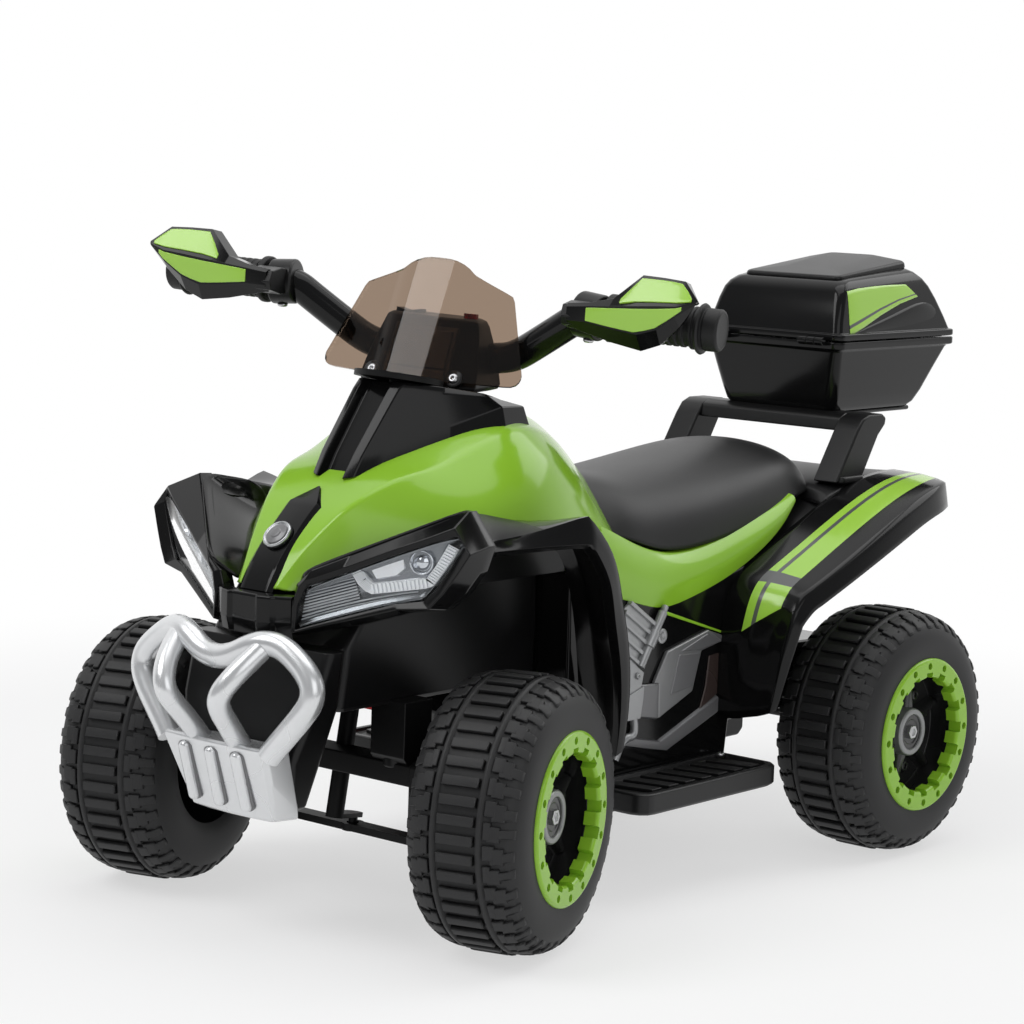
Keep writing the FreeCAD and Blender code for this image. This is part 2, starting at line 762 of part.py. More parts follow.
# Tie rod under the arms, with a wide middle eye for the column crank
rod_y = front_y + size("arm_length")
rod_half = size("rod_width") / 2
rod_shape = box(V(-king_x, rod_y - rod_half, rod_z - size("rod_height")), V(king_x, rod_y + rod_half, rod_z))
crank_room = size("rod_pin_radius") + size("free_gap")
eye_radius = crank_room + wall
for x, radius, bore in (
    (king_x, rod_half, size("rod_pin_radius") + size("run_gap")),
    (-king_x, rod_half, size("rod_pin_radius") + side_gap),
    (0, eye_radius, crank_room),
):
    foot = V(x, rod_y, rod_z - size("rod_height"))
    rod_shape = rod_shape.fuse(cylinder(radius, foot, V(x, rod_y, rod_z)))
for x, bore in ((king_x, size("rod_pin_radius") + size("run_gap")),
                (-king_x, size("rod_pin_radius") + side_gap), (0, crank_room)):
    foot = V(x, rod_y, rod_z - size("rod_height") - over)
    rod_shape = rod_shape.cut(cylinder(bore, foot, V(x, rod_y, rod_z + over)))
rod_shape = rod_shape.removeSplitter()
rest = math.radians(rest_turn)
rod_shift = V(-size("arm_length") * math.sin(rest), -size("arm_length") * (1 - math.cos(rest)), 0)

# Steering column: shaft, head flange and the crank at its foot
cowl_top_y = 0.075
flange_low_z = up(cowl_top_height + (size("steer_axis_offset") / base - cowl_top_y) * cowl_top_slope)
flange_low = on_steer_axis(flange_low_z) + steer_axis * size("free_gap")
flange_top = flange_low + steer_axis * size("column_flange_height")
crank_low = on_steer_axis(axle_z - beam_half - size("lug_height") - wall * 2)
crank_back = V(0, math.cos(tilt), -math.sin(tilt))
crank_reach = (rod_y - crank_low.y) / math.cos(tilt)
crank_tip = crank_low + crank_back * crank_reach
column_shape = cylinder(size("column_radius"), crank_low, flange_top)
column_shape = column_shape.fuse(cylinder(size("column_flange_radius"), flange_low, flange_top))
crank_half = size("arm_width") / 2
crank_corners = [
    crank_low + V(-crank_half, 0, 0), crank_low + V(crank_half, 0, 0),
    crank_tip + V(crank_half, 0, 0), crank_tip + V(-crank_half, 0, 0)]
crank = prism(crank_corners, steer_axis * size("panel_wall"))
crank = crank.fuse(cylinder(crank_half, crank_tip, crank_tip + steer_axis * wall))
crank = crank.fuse(cylinder(crank_half, crank_low, crank_low + steer_axis * wall))
pin_drop = crank_tip.z - rod_z + size("rod_height")
crank = crank.fuse(
    cylinder(size("rod_pin_radius"), crank_tip + steer_axis * wall, crank_tip - steer_axis * pin_drop))
column_shape = column_shape.fuse(crank).removeSplitter()

# Handlebar, dash, screen, guards and grips, drawn straight ahead
bar_points = [spot(*row) for row in (
    (1.37, 0.199, 1.228), (0.74, 0.232, 1.26), (0.36, 0.262, 1.115), (0, 0.262, 1.105))]
bar_radius = size("bar_tube_radius")
bar_shape = tube(both_sides(bar_points), size("bar_bend_radius"), bar_radius)

screen_lean_share = 0.50
screen_lean = V(0, screen_lean_share, 1)
screen_plan_shares = ((0, 0.147), (0.10, 0.149), (0.20, 0.161), (0.50, 0.190))
screen_outline_shares = (
    (0, 1.07), (0.24, 1.07), (0.27, 1.05), (0.455, 1.05), (0.487, 1.08), (0.366, 1.277), (0.186, 1.321),
    (0.145, 1.341), (0.07, 1.36), (0, 1.364))
screen_wall = size("screen_wall")
screen_foot = up(1.02)


def screen_sheet(depth, lead=0.0):
    front = [V(across(x), along(y), screen_foot) for x, y in screen_plan_shares]
    front = both_sides(list(reversed(front)))
    back = [p + V(0, depth, 0) for p in reversed(front)]
    front = [p - V(0, lead, 0) for p in front]
    return prism(front + back, screen_lean * (rise * 0.5))


screen_outline = [V(across(x), along(0), up(z)) for x, z in screen_outline_shares]
screen_outline = screen_outline + [V(-p.x, p.y, p.z) for p in reversed(screen_outline[1:-1])]
screen_prism = prism(screen_outline, V(0, base * 0.5, 0))
screen_shape = screen_sheet(screen_wall).common(screen_prism)

dash_shares = ((0.14, 1.04), (0.216, 1.216), (0.283, 1.208), (0.30, 1.0))
dash_half_shares = (0.25, 0.32)
dash_raw = prism(
    [V(-across(dash_half_shares[1]), along(y), up(z)) for y, z in dash_shares],
    V(across(dash_half_shares[1]) * 2, 0, 0))
below = box(V(-half_body, -half_body, -rise), V(half_body, half_body, 0))
below.Placement = FreeCAD.Placement(flange_top, FreeCAD.Rotation(V(1, 0, 0), -size("steer_tilt_angle")))
front_block = screen_sheet(screen_wall, base * 0.3)
dash_shape = dash_raw.cut(below).cut(front_block)
dash_shape = dash_shape.cut(bar_shape)
dash_window = prism(
    [spot(-0.148, 0.1, 1.072), spot(0.148, 0.1, 1.072), spot(0.137, 0.1, 1.173), spot(-0.137, 0.1, 1.173)],
    V(0, base * 0.1, 0))
window_floor = screen_sheet(screen_wall).translated(V(0, wall, 0))
dash_shape = dash_shape.cut(dash_window.common(window_floor))
dash_shape = largest(dash_shape)

guard_shares = (
    (0.753, (0.158, 1.304), (0.148, 1.296), (0.158, 1.24)),
    (0.94, (0.158, 1.32), (0.142, 1.308), (0.158, 1.208)),
    (1.07, (0.170, 1.388), (0.138, 1.316), (0.163, 1.192)),
    (1.16, (0.167, 1.387), (0.136, 1.322), (0.163, 1.21)),
    (1.27, (0.163, 1.384), (0.134, 1.328), (0.155, 1.29)),
    (1.355, (0.147, 1.345), (0.143, 1.337), (0.146, 1.328)),
)
guard_wall = size("guard_wall")
guard_wires = []
for x_share, top, ridge, low in guard_shares:
    front = [V(across(x_share), along(y), up(z)) for y, z in (top, ridge, low)]
    back = [p + V(0, guard_wall, 0) for p in reversed(front)]
    guard_wires.append(polygon(front + back))
guard_shell = loft(guard_wires, True)
clamp_mid = bar_points[1] + (bar_points[0] - bar_points[1]).normalize() * (size("bar_bend_radius") * 0.5)
bar_line = (bar_points[0] - bar_points[1]).normalize()
clamp_half = size("clamp_width") / 2
clamp = cylinder(size("clamp_radius"), clamp_mid - bar_line * clamp_half, clamp_mid + bar_line * clamp_half)
bridge = box(
    V(clamp_mid.x - clamp_half, along(0.158), clamp_mid.z - clamp_half),
    V(clamp_mid.x + clamp_half, clamp_mid.y, clamp_mid.z + clamp_half))
guard_shape = guard_shell.fuse([clamp, bridge]).cut(bar_shape)
grip_end = bar_points[0]
grip_in = grip_end - bar_line * size("grip_length")
grip_flange = bar_line * size("grip_flange_width")
cap_end = grip_end + bar_line * wall
grip_shape = cylinder(size("grip_radius"), grip_in, cap_end)
grip_shape = grip_shape.fuse(cylinder(size("grip_flange_radius"), grip_in, grip_in + grip_flange))
flange_out = cap_end - bar_line * (wall * 2) - grip_flange
grip_shape = grip_shape.fuse(
    cylinder(size("grip_flange_radius") * 0.95, flange_out, flange_out + grip_flange))
grip_shape = grip_shape.cut(bar_shape)
guard_shape = largest(
    guard_shape.cut(
        cylinder(size("grip_flange_radius") + side_gap, grip_in - bar_line * side_gap, cap_end)))

# Horn button and direction rocker in the dash top
dash_top = [V(0, along(y), up(z)) for y, z in dash_shares[1:3]]
top_slide = (dash_top[1] - dash_top[0]).normalize()
top_up = V(0, -top_slide.z, top_slide.y)
top_mid = (dash_top[0] + dash_top[1]) * 0.5
button_mid = top_mid + V(across(0.16), 0, 0)
button_sink = top_up * (size("button_height"))
button_bore = cylinder(
    size("button_radius") + size("run_gap"), button_mid - button_sink, button_mid + top_up * over)
button_shape = cylinder(
    size("button_radius"), button_mid - button_sink + top_up * (wall), button_mid + top_up * wall)
rocker_mid = top_mid - V(across(0.14), 0, 0)
rocker_half = V(size("switch_length") / 2, 0, 0)
rocker_side = top_slide * (size("switch_width") / 2)
rocker_low = rocker_mid - top_up * size("button_height")
room_half = rocker_half + V(side_gap, 0, 0)
room_side = rocker_side + top_slide * side_gap
room_points = [
    rocker_low - room_half - room_side, rocker_low + room_half - room_side,
    rocker_low + room_half + room_side, rocker_low - room_half + room_side]
rocker_room = prism(room_points, top_up * (size("button_height") + over))
rocker_pivot = rocker_mid - top_up * (size("button_height") * 0.4)
pivot_radius = size("hinge_pin_radius") * 0.75
pivot_step = top_slide * (size("switch_width") / 2 + wall)
pivot_room = cylinder(
    pivot_radius + size("run_gap"), rocker_pivot - pivot_step * 1.2, rocker_pivot + pivot_step * 1.2)
rocker_tip = rocker_mid + top_up * (wall * 0.8)
rocker_shape = prism([
    rocker_pivot - rocker_half - rocker_side + top_up * wall * 0.4,
    rocker_pivot - rocker_side - top_up * wall,
    rocker_pivot + rocker_half - rocker_side + top_up * wall * 0.4,
    rocker_tip + rocker_half * 0.96 - rocker_side,
    rocker_mid - rocker_side + top_up * wall * 0.2,
    rocker_tip - rocker_half * 0.96 - rocker_side], rocker_side * 2)
rocker_shape = rocker_shape.fuse(cylinder(pivot_radius, rocker_pivot - pivot_step, rocker_pivot + pivot_step))
dash_shape = dash_shape.cut(button_bore).cut(rocker_room).cut(pivot_room)

# Rack legs, beam and tray
deck_top = deck_low + wall * 2
leg_top = up(0.888)
leg_shares = ((1.046, 1.10), (1.125, 1.18))
leg_low_x = across(0.43)
leg_points = [
    V(leg_low_x, along(leg_shares[0][0]), deck_top), V(leg_low_x, along(leg_shares[0][1]), deck_top),
    V(leg_low_x, along(leg_shares[1][1]), leg_top), V(leg_low_x, along(leg_shares[1][0]), leg_top)]
leg_shape = prism(leg_points, V(size("rack_leg_width"), 0, 0))
beam_top = leg_top
rack_shape = box(
    V(-leg_low_x, along(1.125), beam_top - size("rack_beam_height")), V(leg_low_x, along(1.18), beam_top))
tray_top = beam_top + wall
rack_shape = rack_shape.fuse(
    box(V(-across(0.32), along(1.13), beam_top), V(across(0.32), along(1.41), tray_top)))
rack_shape = rack_shape.removeSplitter()

# Trunk: tapered base with a rim, and a lid hinged along its front edge
trunk_low_shares = (0.345, 1.13, 1.416)
trunk_rim_shares = (0.44, 1.106, 1.472)
lid_top_shares = (0.35, 1.15, 1.385)
trunk_corner_share = 0.10
rim_z = up(1.11)
lid_z = rim_z + size("lid_gap")
lid_top_z = up(1.30)
rim_lip = wall * 1.2


def trunk_wire(row, z, inset=0.0):
    half = across(row[0]) - inset
    low = along(row[1]) + inset
    high = along(row[2]) - inset
    corner = across(trunk_corner_share)
    right = [
        V(half - corner, low, z), V(half, low + corner, z), V(half, high - corner, z),
        V(half - corner, high, z)]
    return polygon(right + [V(-p.x, p.y, p.z) for p in reversed(right)])


trunk_base = loft([trunk_wire(trunk_low_shares, tray_top), trunk_wire(trunk_rim_shares, rim_z)], True)
trunk_lip = loft([
    trunk_wire(trunk_rim_shares, rim_z - rim_lip, -rim_lip),
    trunk_wire(trunk_rim_shares, rim_z, -rim_lip)], True)
trunk_room = loft([
    trunk_wire(trunk_low_shares, tray_top + wall, wall),
    trunk_wire(trunk_rim_shares, rim_z + over, wall)], True)
trunk_shape = trunk_base.fuse(trunk_lip).cut(trunk_room)
lid_solid = loft([trunk_wire(trunk_rim_shares, lid_z), trunk_wire(lid_top_shares, lid_top_z)], True)
lid_lip = loft([
    trunk_wire(trunk_rim_shares, lid_z, -rim_lip),
    trunk_wire(trunk_rim_shares, lid_z + rim_lip, -rim_lip)], True)
crown_shares = ((0.30, 1.16, 1.378), (0.27, 1.178, 1.362))
lid_crown = loft([
    trunk_wire(crown_shares[0], lid_top_z - over), trunk_wire(crown_shares[1], up(1.356))], True)
lid_room = loft([
    trunk_wire(trunk_rim_shares, lid_z - over, wall),
    trunk_wire(lid_top_shares, lid_top_z - wall, wall)], True)
lid_shape = lid_solid.fuse([lid_lip, lid_crown]).cut(lid_room)
hinge_y = along(trunk_rim_shares[1]) - rim_lip - size("hinge_ear_radius") - gap
hinge_z = (rim_z + lid_z) / 2
ear = size("hinge_ear_radius")
ear_half = size("hinge_ear_width") / 2
for side in (-1, 1):
    x = side * size("hinge_spread")
    room = cylinder(
        ear + gap, V(x - ear_half - gap, hinge_y, hinge_z), V(x + ear_half + gap, hinge_y, hinge_z))
    trunk_shape = trunk_shape.cut(room)
    lid_ear = cylinder(ear, V(x - ear_half, hinge_y, hinge_z), V(x + ear_half, hinge_y, hinge_z))
    strap = box(
        V(x - ear_half, hinge_y, hinge_z + gap),
        V(x + ear_half, along(trunk_rim_shares[1]) + wall, hinge_z + ear))
    bore = cylinder(
        size("hinge_pin_radius") + size("run_gap"), V(x - ear_half * 2, hinge_y, hinge_z),
        V(x + ear_half * 2, hinge_y, hinge_z))
    lid_shape = lid_shape.fuse([lid_ear, strap]).cut(bore)
    for end in (-1, 1):
        near = x + end * (ear_half + gap)
        far = x + end * (ear_half * 1.8 + gap)
        cheek = cylinder(ear, V(near, hinge_y, hinge_z), V(far, hinge_y, hinge_z))
        foot = box(
            V(min(near, far), hinge_y - ear, rim_z - rim_lip - wall),
            V(max(near, far), along(trunk_rim_shares[1]) + wall, rim_z - rim_lip * 0.5))
        cheek = cheek.fuse(box(
            V(min(near, far), hinge_y - ear, rim_z - rim_lip - wall),
            V(max(near, far), hinge_y + ear, hinge_z)))
        trunk_shape = trunk_shape.fuse([cheek, foot])
        lid_shape = lid_shape.cut(cylinder(
            ear + gap, V(min(near, far) - gap, hinge_y, hinge_z), V(max(near, far) + gap, hinge_y, hinge_z)))
    trunk_shape = trunk_shape.fuse(cylinder(
        size("hinge_pin_radius"), V(x - ear_half * 1.8, hinge_y, hinge_z),
        V(x + ear_half * 1.8, hinge_y, hinge_z)))
lid_shape = largest(lid_shape.cut(lid_room))
trunk_shape = largest(trunk_shape.cut(trunk_room))


# Drive: involute gears drawn by formula
def gear(teeth, width, start):
    module = size("gear_module")
    pitch = module * teeth / 2
    pressure = math.radians(20.0)
    base_radius = pitch * math.cos(pressure)
    outer = pitch + module
    root = pitch - 1.25 * module
    half_tooth = math.pi / (2 * teeth) - size("gear_backlash") / (2 * pitch)
    roll_pitch = math.tan(pressure) - pressure
    flank = []
    for step in range(5):
        radius = max(root, base_radius) + (outer - max(root, base_radius)) * step / 4.0
        angle = math.acos(min(1.0, base_radius / radius))
        flank.append((radius, half_tooth + roll_pitch - (math.tan(angle) - angle)))
    points = []
    for tooth in range(int(teeth)):
        turn = 2 * math.pi * tooth / teeth
        low = flank[0][1]
        row = [(root, -low)] + [(r, -a) for r, a in flank]
        row = row + [(r, a) for r, a in reversed(flank)] + [(root, low)]
        for radius, angle in row:
            points.append(V(start, radius * math.sin(turn + angle), radius * math.cos(turn + angle)))
    clean = [points[0]]
    for point in points[1:]:
        if (point - clean[-1]).Length > 1e-4:
            clean.append(point)
    return prism(clean, V(width, 0, 0))


module = size("gear_module")
output_turn = 180.0 / size("output_teeth")
gear_width = size("gear_width")
gear_x = -size("gear_inset") - gear_width
lay_distance = module * (size("output_teeth") + size("lay_teeth")) / 2
lay_centre = rear_centre + V(
    0, -lay_distance * math.cos(math.radians(45)), lay_distance * math.sin(math.radians(45)))
motor_distance = module * (size("reduction_teeth") + size("pinion_teeth")) / 2
motor_centre = lay_centre + V(0, 0, motor_distance)


def tooth_phase(direction, teeth, mate_teeth, mate_phase):
    toward = math.atan2(direction.y, direction.z)
    mate = (toward + math.pi - mate_phase) * mate_teeth
    return toward + (mate + math.pi) / teeth


def placed_gear(shape, centre, phase):
    moved = shape.copy()
    moved.rotate(V(0, 0, 0), V(-1, 0, 0), math.degrees(phase))
    return moved.translated(V(0, centre.y, centre.z))


output_core = placed_gear(gear(size("output_teeth"), gear_width, gear_x), rear_centre, 0.0)
wheel_inner_x = -size("half_track") - hub_inner
sleeve = cylinder(
    size("sleeve_radius"), V(wheel_inner_x, rear_y, axle_z), V(gear_x + gear_width, rear_y, axle_z))
axle_bore = size("axle_radius") + size("run_gap")
output_shape = output_core.fuse(sleeve).cut(
    cylinder(axle_bore, V(wheel_inner_x - over, rear_y, axle_z), V(0, rear_y, axle_z)))
lay_phase = tooth_phase(rear_centre - lay_centre, size("lay_teeth"), size("output_teeth"), 0.0)
lay_core = placed_gear(gear(size("lay_teeth"), gear_width, gear_x), lay_centre, lay_phase)
big_x = gear_x + gear_width
big_core = placed_gear(gear(size("reduction_teeth"), gear_width * 0.75, big_x), lay_centre, 0.0)
lay_bore = size("lay_pin_radius") + size("run_gap")
reduction_shape = lay_core.fuse(big_core).cut(cylinder(
    lay_bore, V(gear_x - over, lay_centre.y, lay_centre.z),
    V(big_x + gear_width + over, lay_centre.y, lay_centre.z)))
pinion_phase = tooth_phase(lay_centre - motor_centre, size("pinion_teeth"), size("reduction_teeth"), 0.0)
pinion_core = placed_gear(gear(size("pinion_teeth"), gear_width * 0.75, big_x), motor_centre, pinion_phase)
case_inner = big_x + gear_width * 0.75 + size("free_gap")
motor_face = case_inner + size("case_wall")
shaft_end = motor_face + size("motor_length") * 0.3
pinion_shape = pinion_core.fuse(cylinder(
    size("motor_shaft_radius"), V(big_x, motor_centre.y, motor_centre.z),
    V(shaft_end, motor_centre.y, motor_centre.z)))
motor_shape = cylinder(
    size("motor_radius"), V(motor_face, motor_centre.y, motor_centre.z),
    V(motor_face + size("motor_length"), motor_centre.y, motor_centre.z))
motor_shape = motor_shape.cut(cylinder(
    size("motor_shaft_radius") + size("run_gap"), V(motor_face - over, motor_centre.y, motor_centre.z),
    V(shaft_end + side_gap, motor_centre.y, motor_centre.z)))
margin = size("case_margin") + module
output_reach = module * size("output_teeth") / 2 + margin
lay_reach = module * size("reduction_teeth") / 2 + margin
case_low = V(gear_x - size("free_gap"), lay_centre.y - lay_reach, rear_centre.z - output_reach)
case_high = V(
    case_inner, rear_centre.y + output_reach, motor_centre.z + module * size("pinion_teeth") / 2 + margin)
case_step = V(size("case_wall"), size("case_wall"), size("case_wall"))
case_shape = box(case_low - case_step, case_high + case_step).cut(box(case_low, case_high))
case_shape = case_shape.cut(cylinder(
    size("sleeve_radius") + side_gap, V(case_low.x - size("case_wall") - over, rear_y, axle_z),
    V(case_low.x + over, rear_y, axle_z)))
case_shape = case_shape.cut(cylinder(
    size("axle_radius"), V(case_high.x - over, rear_y, axle_z),
    V(case_high.x + size("case_wall") + over, rear_y, axle_z)))
case_shape = case_shape.cut(cylinder(
    size("motor_shaft_radius") + side_gap, V(case_high.x - over, motor_centre.y, motor_centre.z),
    V(case_high.x + size("case_wall") + over, motor_centre.y, motor_centre.z)))
case_shape = case_shape.fuse(cylinder(
    size("lay_pin_radius"), V(case_low.x, lay_centre.y, lay_centre.z),
    V(case_high.x, lay_centre.y, lay_centre.z)))

# Rear axle rod with a nut at each end
axle_tip = size("half_track") + hub_outer + side_gap
axle_end = axle_tip + size("axle_cap_height")
rear_axle_shape = cylinder(size("axle_radius"), V(-axle_end, rear_y, axle_z), V(axle_end, rear_y, axle_z))
for side in (-1, 1):
    rear_axle_shape = rear_axle_shape.fuse(cylinder(
        size("axle_cap_radius"), V(side * axle_tip, rear_y, axle_z), V(side * axle_end, rear_y, axle_z)))
rear_axle_shape = rear_axle_shape.removeSplitter()

# Foot boards: ribbed plates beside the tub
board_width = "Sizes.body_half_width * 0.36"
board_length = "Sizes.wheelbase * 0.36"
board_low = up(-0.105)
board_y = along(0.355)


def foot_board(name, side):
    body = new_body(name)
    near = "0"
    far = ("" if side > 0 else "-") + "(" + board_width + ")"
    outline = new_sketch(body, "XY_Plane")
    draw_loop(outline, rectangle(near, "0", far, board_length))
    slab = pad(body, outline, cell("board_height"))
    edge_x = side * number(outline, board_width)
    rounded = fillet(
        body, slab, cell("board_corner_radius"),
        lambda edge: along_axis(edge, V(0, 0, 1)) and abs(edge.Vertexes[0].Point.x - edge_x) < 1e-3)
    top = new_sketch(body, "XY_Plane", cell("board_height"))
    sign = "" if side > 0 else "-"
    groove_near = sign + cell("board_rim")
    groove_far = sign + "(" + board_width + " - " + cell("board_rim") + ")"
    groove_y = "Sizes.wheelbase * 0.045"
    draw_loop(
        top, rectangle(groove_near, groove_y, groove_far, groove_y + " + " + cell("board_groove_width")))
    cut = pocket(body, top, cell("board_groove_depth"))
    linear(body, [cut], "Y_Axis", "Sizes.wheelbase * 0.27", cell("board_groove_count"))
    body.Placement = FreeCAD.Placement(V(side * panel_half, board_y, board_low), FreeCAD.Rotation())
    return body


# Engine dress covers on the tub sides
cover_shares = (
    (0.385, 0.42), (0.50, 0.415), (0.56, 0.34), (0.69, 0.31), (0.688, 0.08), (0.58, 0.03), (0.40, 0.05))
boss_shares = ((0.52, 0.29), (0.66, 0.27), (0.66, 0.12), (0.57, 0.08), (0.50, 0.13))


def share_point(row):
    return ("Sizes.wheelbase * %s" % row[0], "Sizes.body_rise * %s" % row[1])


def engine_cover(name, side):
    body = new_body(name)
    outline = new_sketch(body, "YZ_Plane")
    draw_loop(outline, [share_point(row) for row in cover_shares])
    pad(body, outline, cell("cover_wall"), backward=side < 0)
    boss_sketch = new_sketch(body, "YZ_Plane")
    draw_loop(boss_sketch, [share_point(row) for row in boss_shares])
    pad(body, boss_sketch, cell("cover_wall") + " + " + cell("cover_boss_height"), backward=side < 0)
    fin = new_sketch(body, "YZ_Plane")
    low = "Sizes.body_rise * 0.16"
    draw_loop(fin, rectangle(
        "Sizes.wheelbase * 0.41", low, "Sizes.wheelbase * 0.475", low + " + " + cell("cover_fin_width")))
    fin_pad = pad(body, fin, cell("cover_wall") + " + " + cell("cover_boss_height"), backward=side < 0)
    linear(body, [fin_pad], "Z_Axis", "Sizes.body_rise * 0.20", cell("cover_fin_count"))
    body.Placement = FreeCAD.Placement(V(side * panel_half, front_y, wheel_radius), FreeCAD.Rotation())
    return body


# Battery under the seat
def battery_block():
    body = new_body("battery")
    outline = new_sketch(body, "XY_Plane")
    half_x = cell("battery_width") + " / 2"
    half_y = cell("battery_length") + " / 2"
    draw_loop(outline, rectangle("-(" + half_x + ")", "-(" + half_y + ")", half_x, half_y))
    block = pad(body, outline, cell("battery_height"))
    fillet(body, block, cell("edge_round"), lambda edge: along_axis(edge, V(0, 0, 1)))
    posts = new_sketch(body, "XY_Plane", cell("battery_height"))
    draw_circle(posts, cell("battery_width") + " / 4", cell("battery_length") + " / 4", cell("button_radius"))
    draw_circle(
        posts, "-" + cell("battery_width") + " / 4", cell("battery_length") + " / 4", cell("button_radius"))
    pad(body, posts, cell("button_height"))
    body.Placement = FreeCAD.Placement(V(0, along(0.60), up(-0.152) + wall), FreeCAD.Rotation())
    return body


# Wheels: hollow tyre with bars and lugs, drilled rim ring, spoked hub
tyre_half = cell("tyre_width") + " / 2"
tyre_skin = cell("panel_wall") + " * 2"
tread_base = "(" + cell("wheel_diameter") + " / 2 - " + cell("tread_height") + ")"
tread_top = cell("wheel_diameter") + " / 2"
hub_in = "-(" + tyre_half + ") + " + cell("panel_wall")
hub_out = tyre_half + " - " + cell("hub_face_inset") + " - " + cell("panel_wall")
ring_in = tyre_half + " + " + cell("rim_proud") + " - " + cell("rim_depth")
ring_out = tyre_half + " + " + cell("rim_proud")


def wheel(name, placement):
    tyre = new_body("tyre_" + name)
    section = new_sketch(tyre, "XZ_Plane")
    waist = tread_top + " * 0.78"
    draw_loop(section, (
        ("-(" + tyre_half + ")", cell("rim_radius")), ("-(" + tyre_half + ")", waist),
        ("-(" + tyre_half + " * 0.85)", tread_base), (tyre_half + " * 0.85", tread_base),
        (tyre_half, waist), (tyre_half, cell("rim_radius")),
        (tyre_half + " - " + tyre_skin, cell("rim_radius")),
        (tyre_half + " - " + tyre_skin, waist + " - " + cell("panel_wall")),
        (tyre_half + " * 0.7", tread_base + " - " + tyre_skin),
        ("-(" + tyre_half + " * 0.7)", tread_base + " - " + tyre_skin),
        ("-(" + tyre_half + ") + " + tyre_skin, waist + " - " + cell("panel_wall")),
        ("-(" + tyre_half + ") + " + tyre_skin, cell("rim_radius"))))
    revolve(tyre, section, "X_Axis")
    lug = new_sketch(tyre, "YZ_Plane")
    lug_half = cell("lug_width") + " / 2"
    draw_loop(lug, rectangle(
        "-(" + lug_half + ")", tread_base + " - " + cell("run_gap") + " * 20", lug_half,
        tread_top + " - " + cell("tread_height") + " / 4"))
    lug_pad = pad(tyre, lug, cell("tyre_width") + " * 0.9", midplane=True)
    polar(tyre, [lug_pad], "X_Axis", cell("lug_count"))
    bar = new_sketch(tyre, "YZ_Plane")
    bar_half = cell("tread_bar_width") + " / 2"
    draw_loop(bar, rectangle(
        "-(" + bar_half + ")", tread_base + " - " + cell("run_gap") + " * 20", bar_half, tread_top))
    bar_pad = pad(tyre, bar, cell("tread_band_width"), midplane=True)
    polar(tyre, [bar_pad], "X_Axis", cell("tread_bar_count"))
    tyre.Placement = placement

    ring = new_body("rim_ring_" + name)
    band = new_sketch(ring, "XZ_Plane")
    draw_loop(band, rectangle(ring_in, cell("rim_inner_radius"), ring_out, cell("rim_radius")))
    turned = revolve(ring, band, "X_Axis")
    outer = number(band, ring_out)
    fillet(
        ring, turned, cell("edge_round"),
        lambda edge: isinstance(edge.Curve, Part.Circle) and abs(edge.Curve.Center.x - outer) < 1e-3)
    drill = new_sketch(ring, "YZ_Plane")
    draw_circle(
        drill, "0",
        "(" + cell("rim_radius") + " + " + cell("rim_inner_radius") + ") / 2 + " + cell("rim_proud"),
        cell("rim_hole_radius"))
    holes = pocket(ring, drill, midplane=True)
    notch = new_sketch(ring, "YZ_Plane")
    notch_half = cell("rim_notch_width") + " / 2"
    draw_loop(notch, rectangle(
        "-(" + notch_half + ")", cell("rim_inner_radius") + " - " + cell("rim_notch_depth"), notch_half,
        cell("rim_inner_radius") + " + " + cell("rim_notch_depth")))
    gaps = pocket(ring, notch, midplane=True)
    polar(ring, [holes, gaps], "X_Axis", cell("rim_hole_count"))
    ring.Placement = placement

    hub = new_body("wheel_hub_" + name)
    section = new_sketch(hub, "XZ_Plane")
    bore = cell("axle_radius") + " + " + cell("run_gap")
    drum = cell("rim_inner_radius") + " - " + cell("panel_wall") + " / 3"
    drum_out = cell("rim_inner_radius") + " + " + cell("panel_wall")
    disc_in = hub_out + " - " + cell("hub_disc_width")
    flange_in = ring_in + " - " + cell("hub_disc_width") + " / 2"
    draw_loop(section, (
        (hub_in, bore), (hub_out, bore), (hub_out, drum), (ring_in, drum), (ring_in, cell("rim_radius")),
        (flange_in, cell("rim_radius")), (flange_in, drum_out), (disc_in, drum_out),
        (disc_in, cell("hub_radius")), (hub_in, cell("hub_radius"))))
    revolve(hub, section, "X_Axis")
    window = new_sketch(hub, "YZ_Plane")
    half = cell("spoke_window_width") + " / 2"
    low = cell("hub_radius") + " + " + cell("rim_notch_depth") + " * 2"
    high = low + " + " + cell("spoke_window_length")
    draw_loop(window, (
        ("-(" + half + ") * 0.5", low), (half + " * 0.5", low), (half, high), ("-(" + half + ")", high)))
    opening = pocket(hub, window, midplane=True)
    polar(hub, [opening], "X_Axis", cell("spoke_window_count"))
    hub.Placement = placement


def wheel_place(side, y):
    turn = FreeCAD.Rotation(V(0, 0, 1), 0 if side > 0 else 180)
    return FreeCAD.Placement(V(side * size("half_track"), y, axle_z), turn)


# Accelerator pedal over the right foot board
pedal_x = -panel_half - across(0.18)
pedal_y = board_y + base * 0.16
pedal_z = board_low + size("board_height") + size("pedal_pin_radius") * 2 + side_gap
pedal_half = size("pedal_width") / 2
pin_radius = size("pedal_pin_radius")
lug_thick = size("pedal_lug_width")
pedal_line = FreeCAD.Rotation(V(1, 0, 0), -size("pedal_tilt_angle")).multVec(V(0, -1, 0))
pedal_up = FreeCAD.Rotation(V(1, 0, 0), -size("pedal_tilt_angle")).multVec(V(0, 0, 1))
pivot = V(pedal_x, pedal_y, pedal_z)
plate_low = pivot - V(pedal_half, 0, 0) - pedal_up * (size("pedal_wall") / 2)
plate_far = plate_low + pedal_line * size("pedal_length")
plate_side = V(size("pedal_width"), 0, 0)
pedal_shape = prism(
    [plate_low, plate_low + plate_side, plate_far + plate_side, plate_far], pedal_up * size("pedal_wall"))
roll = V(pedal_half, 0, 0)
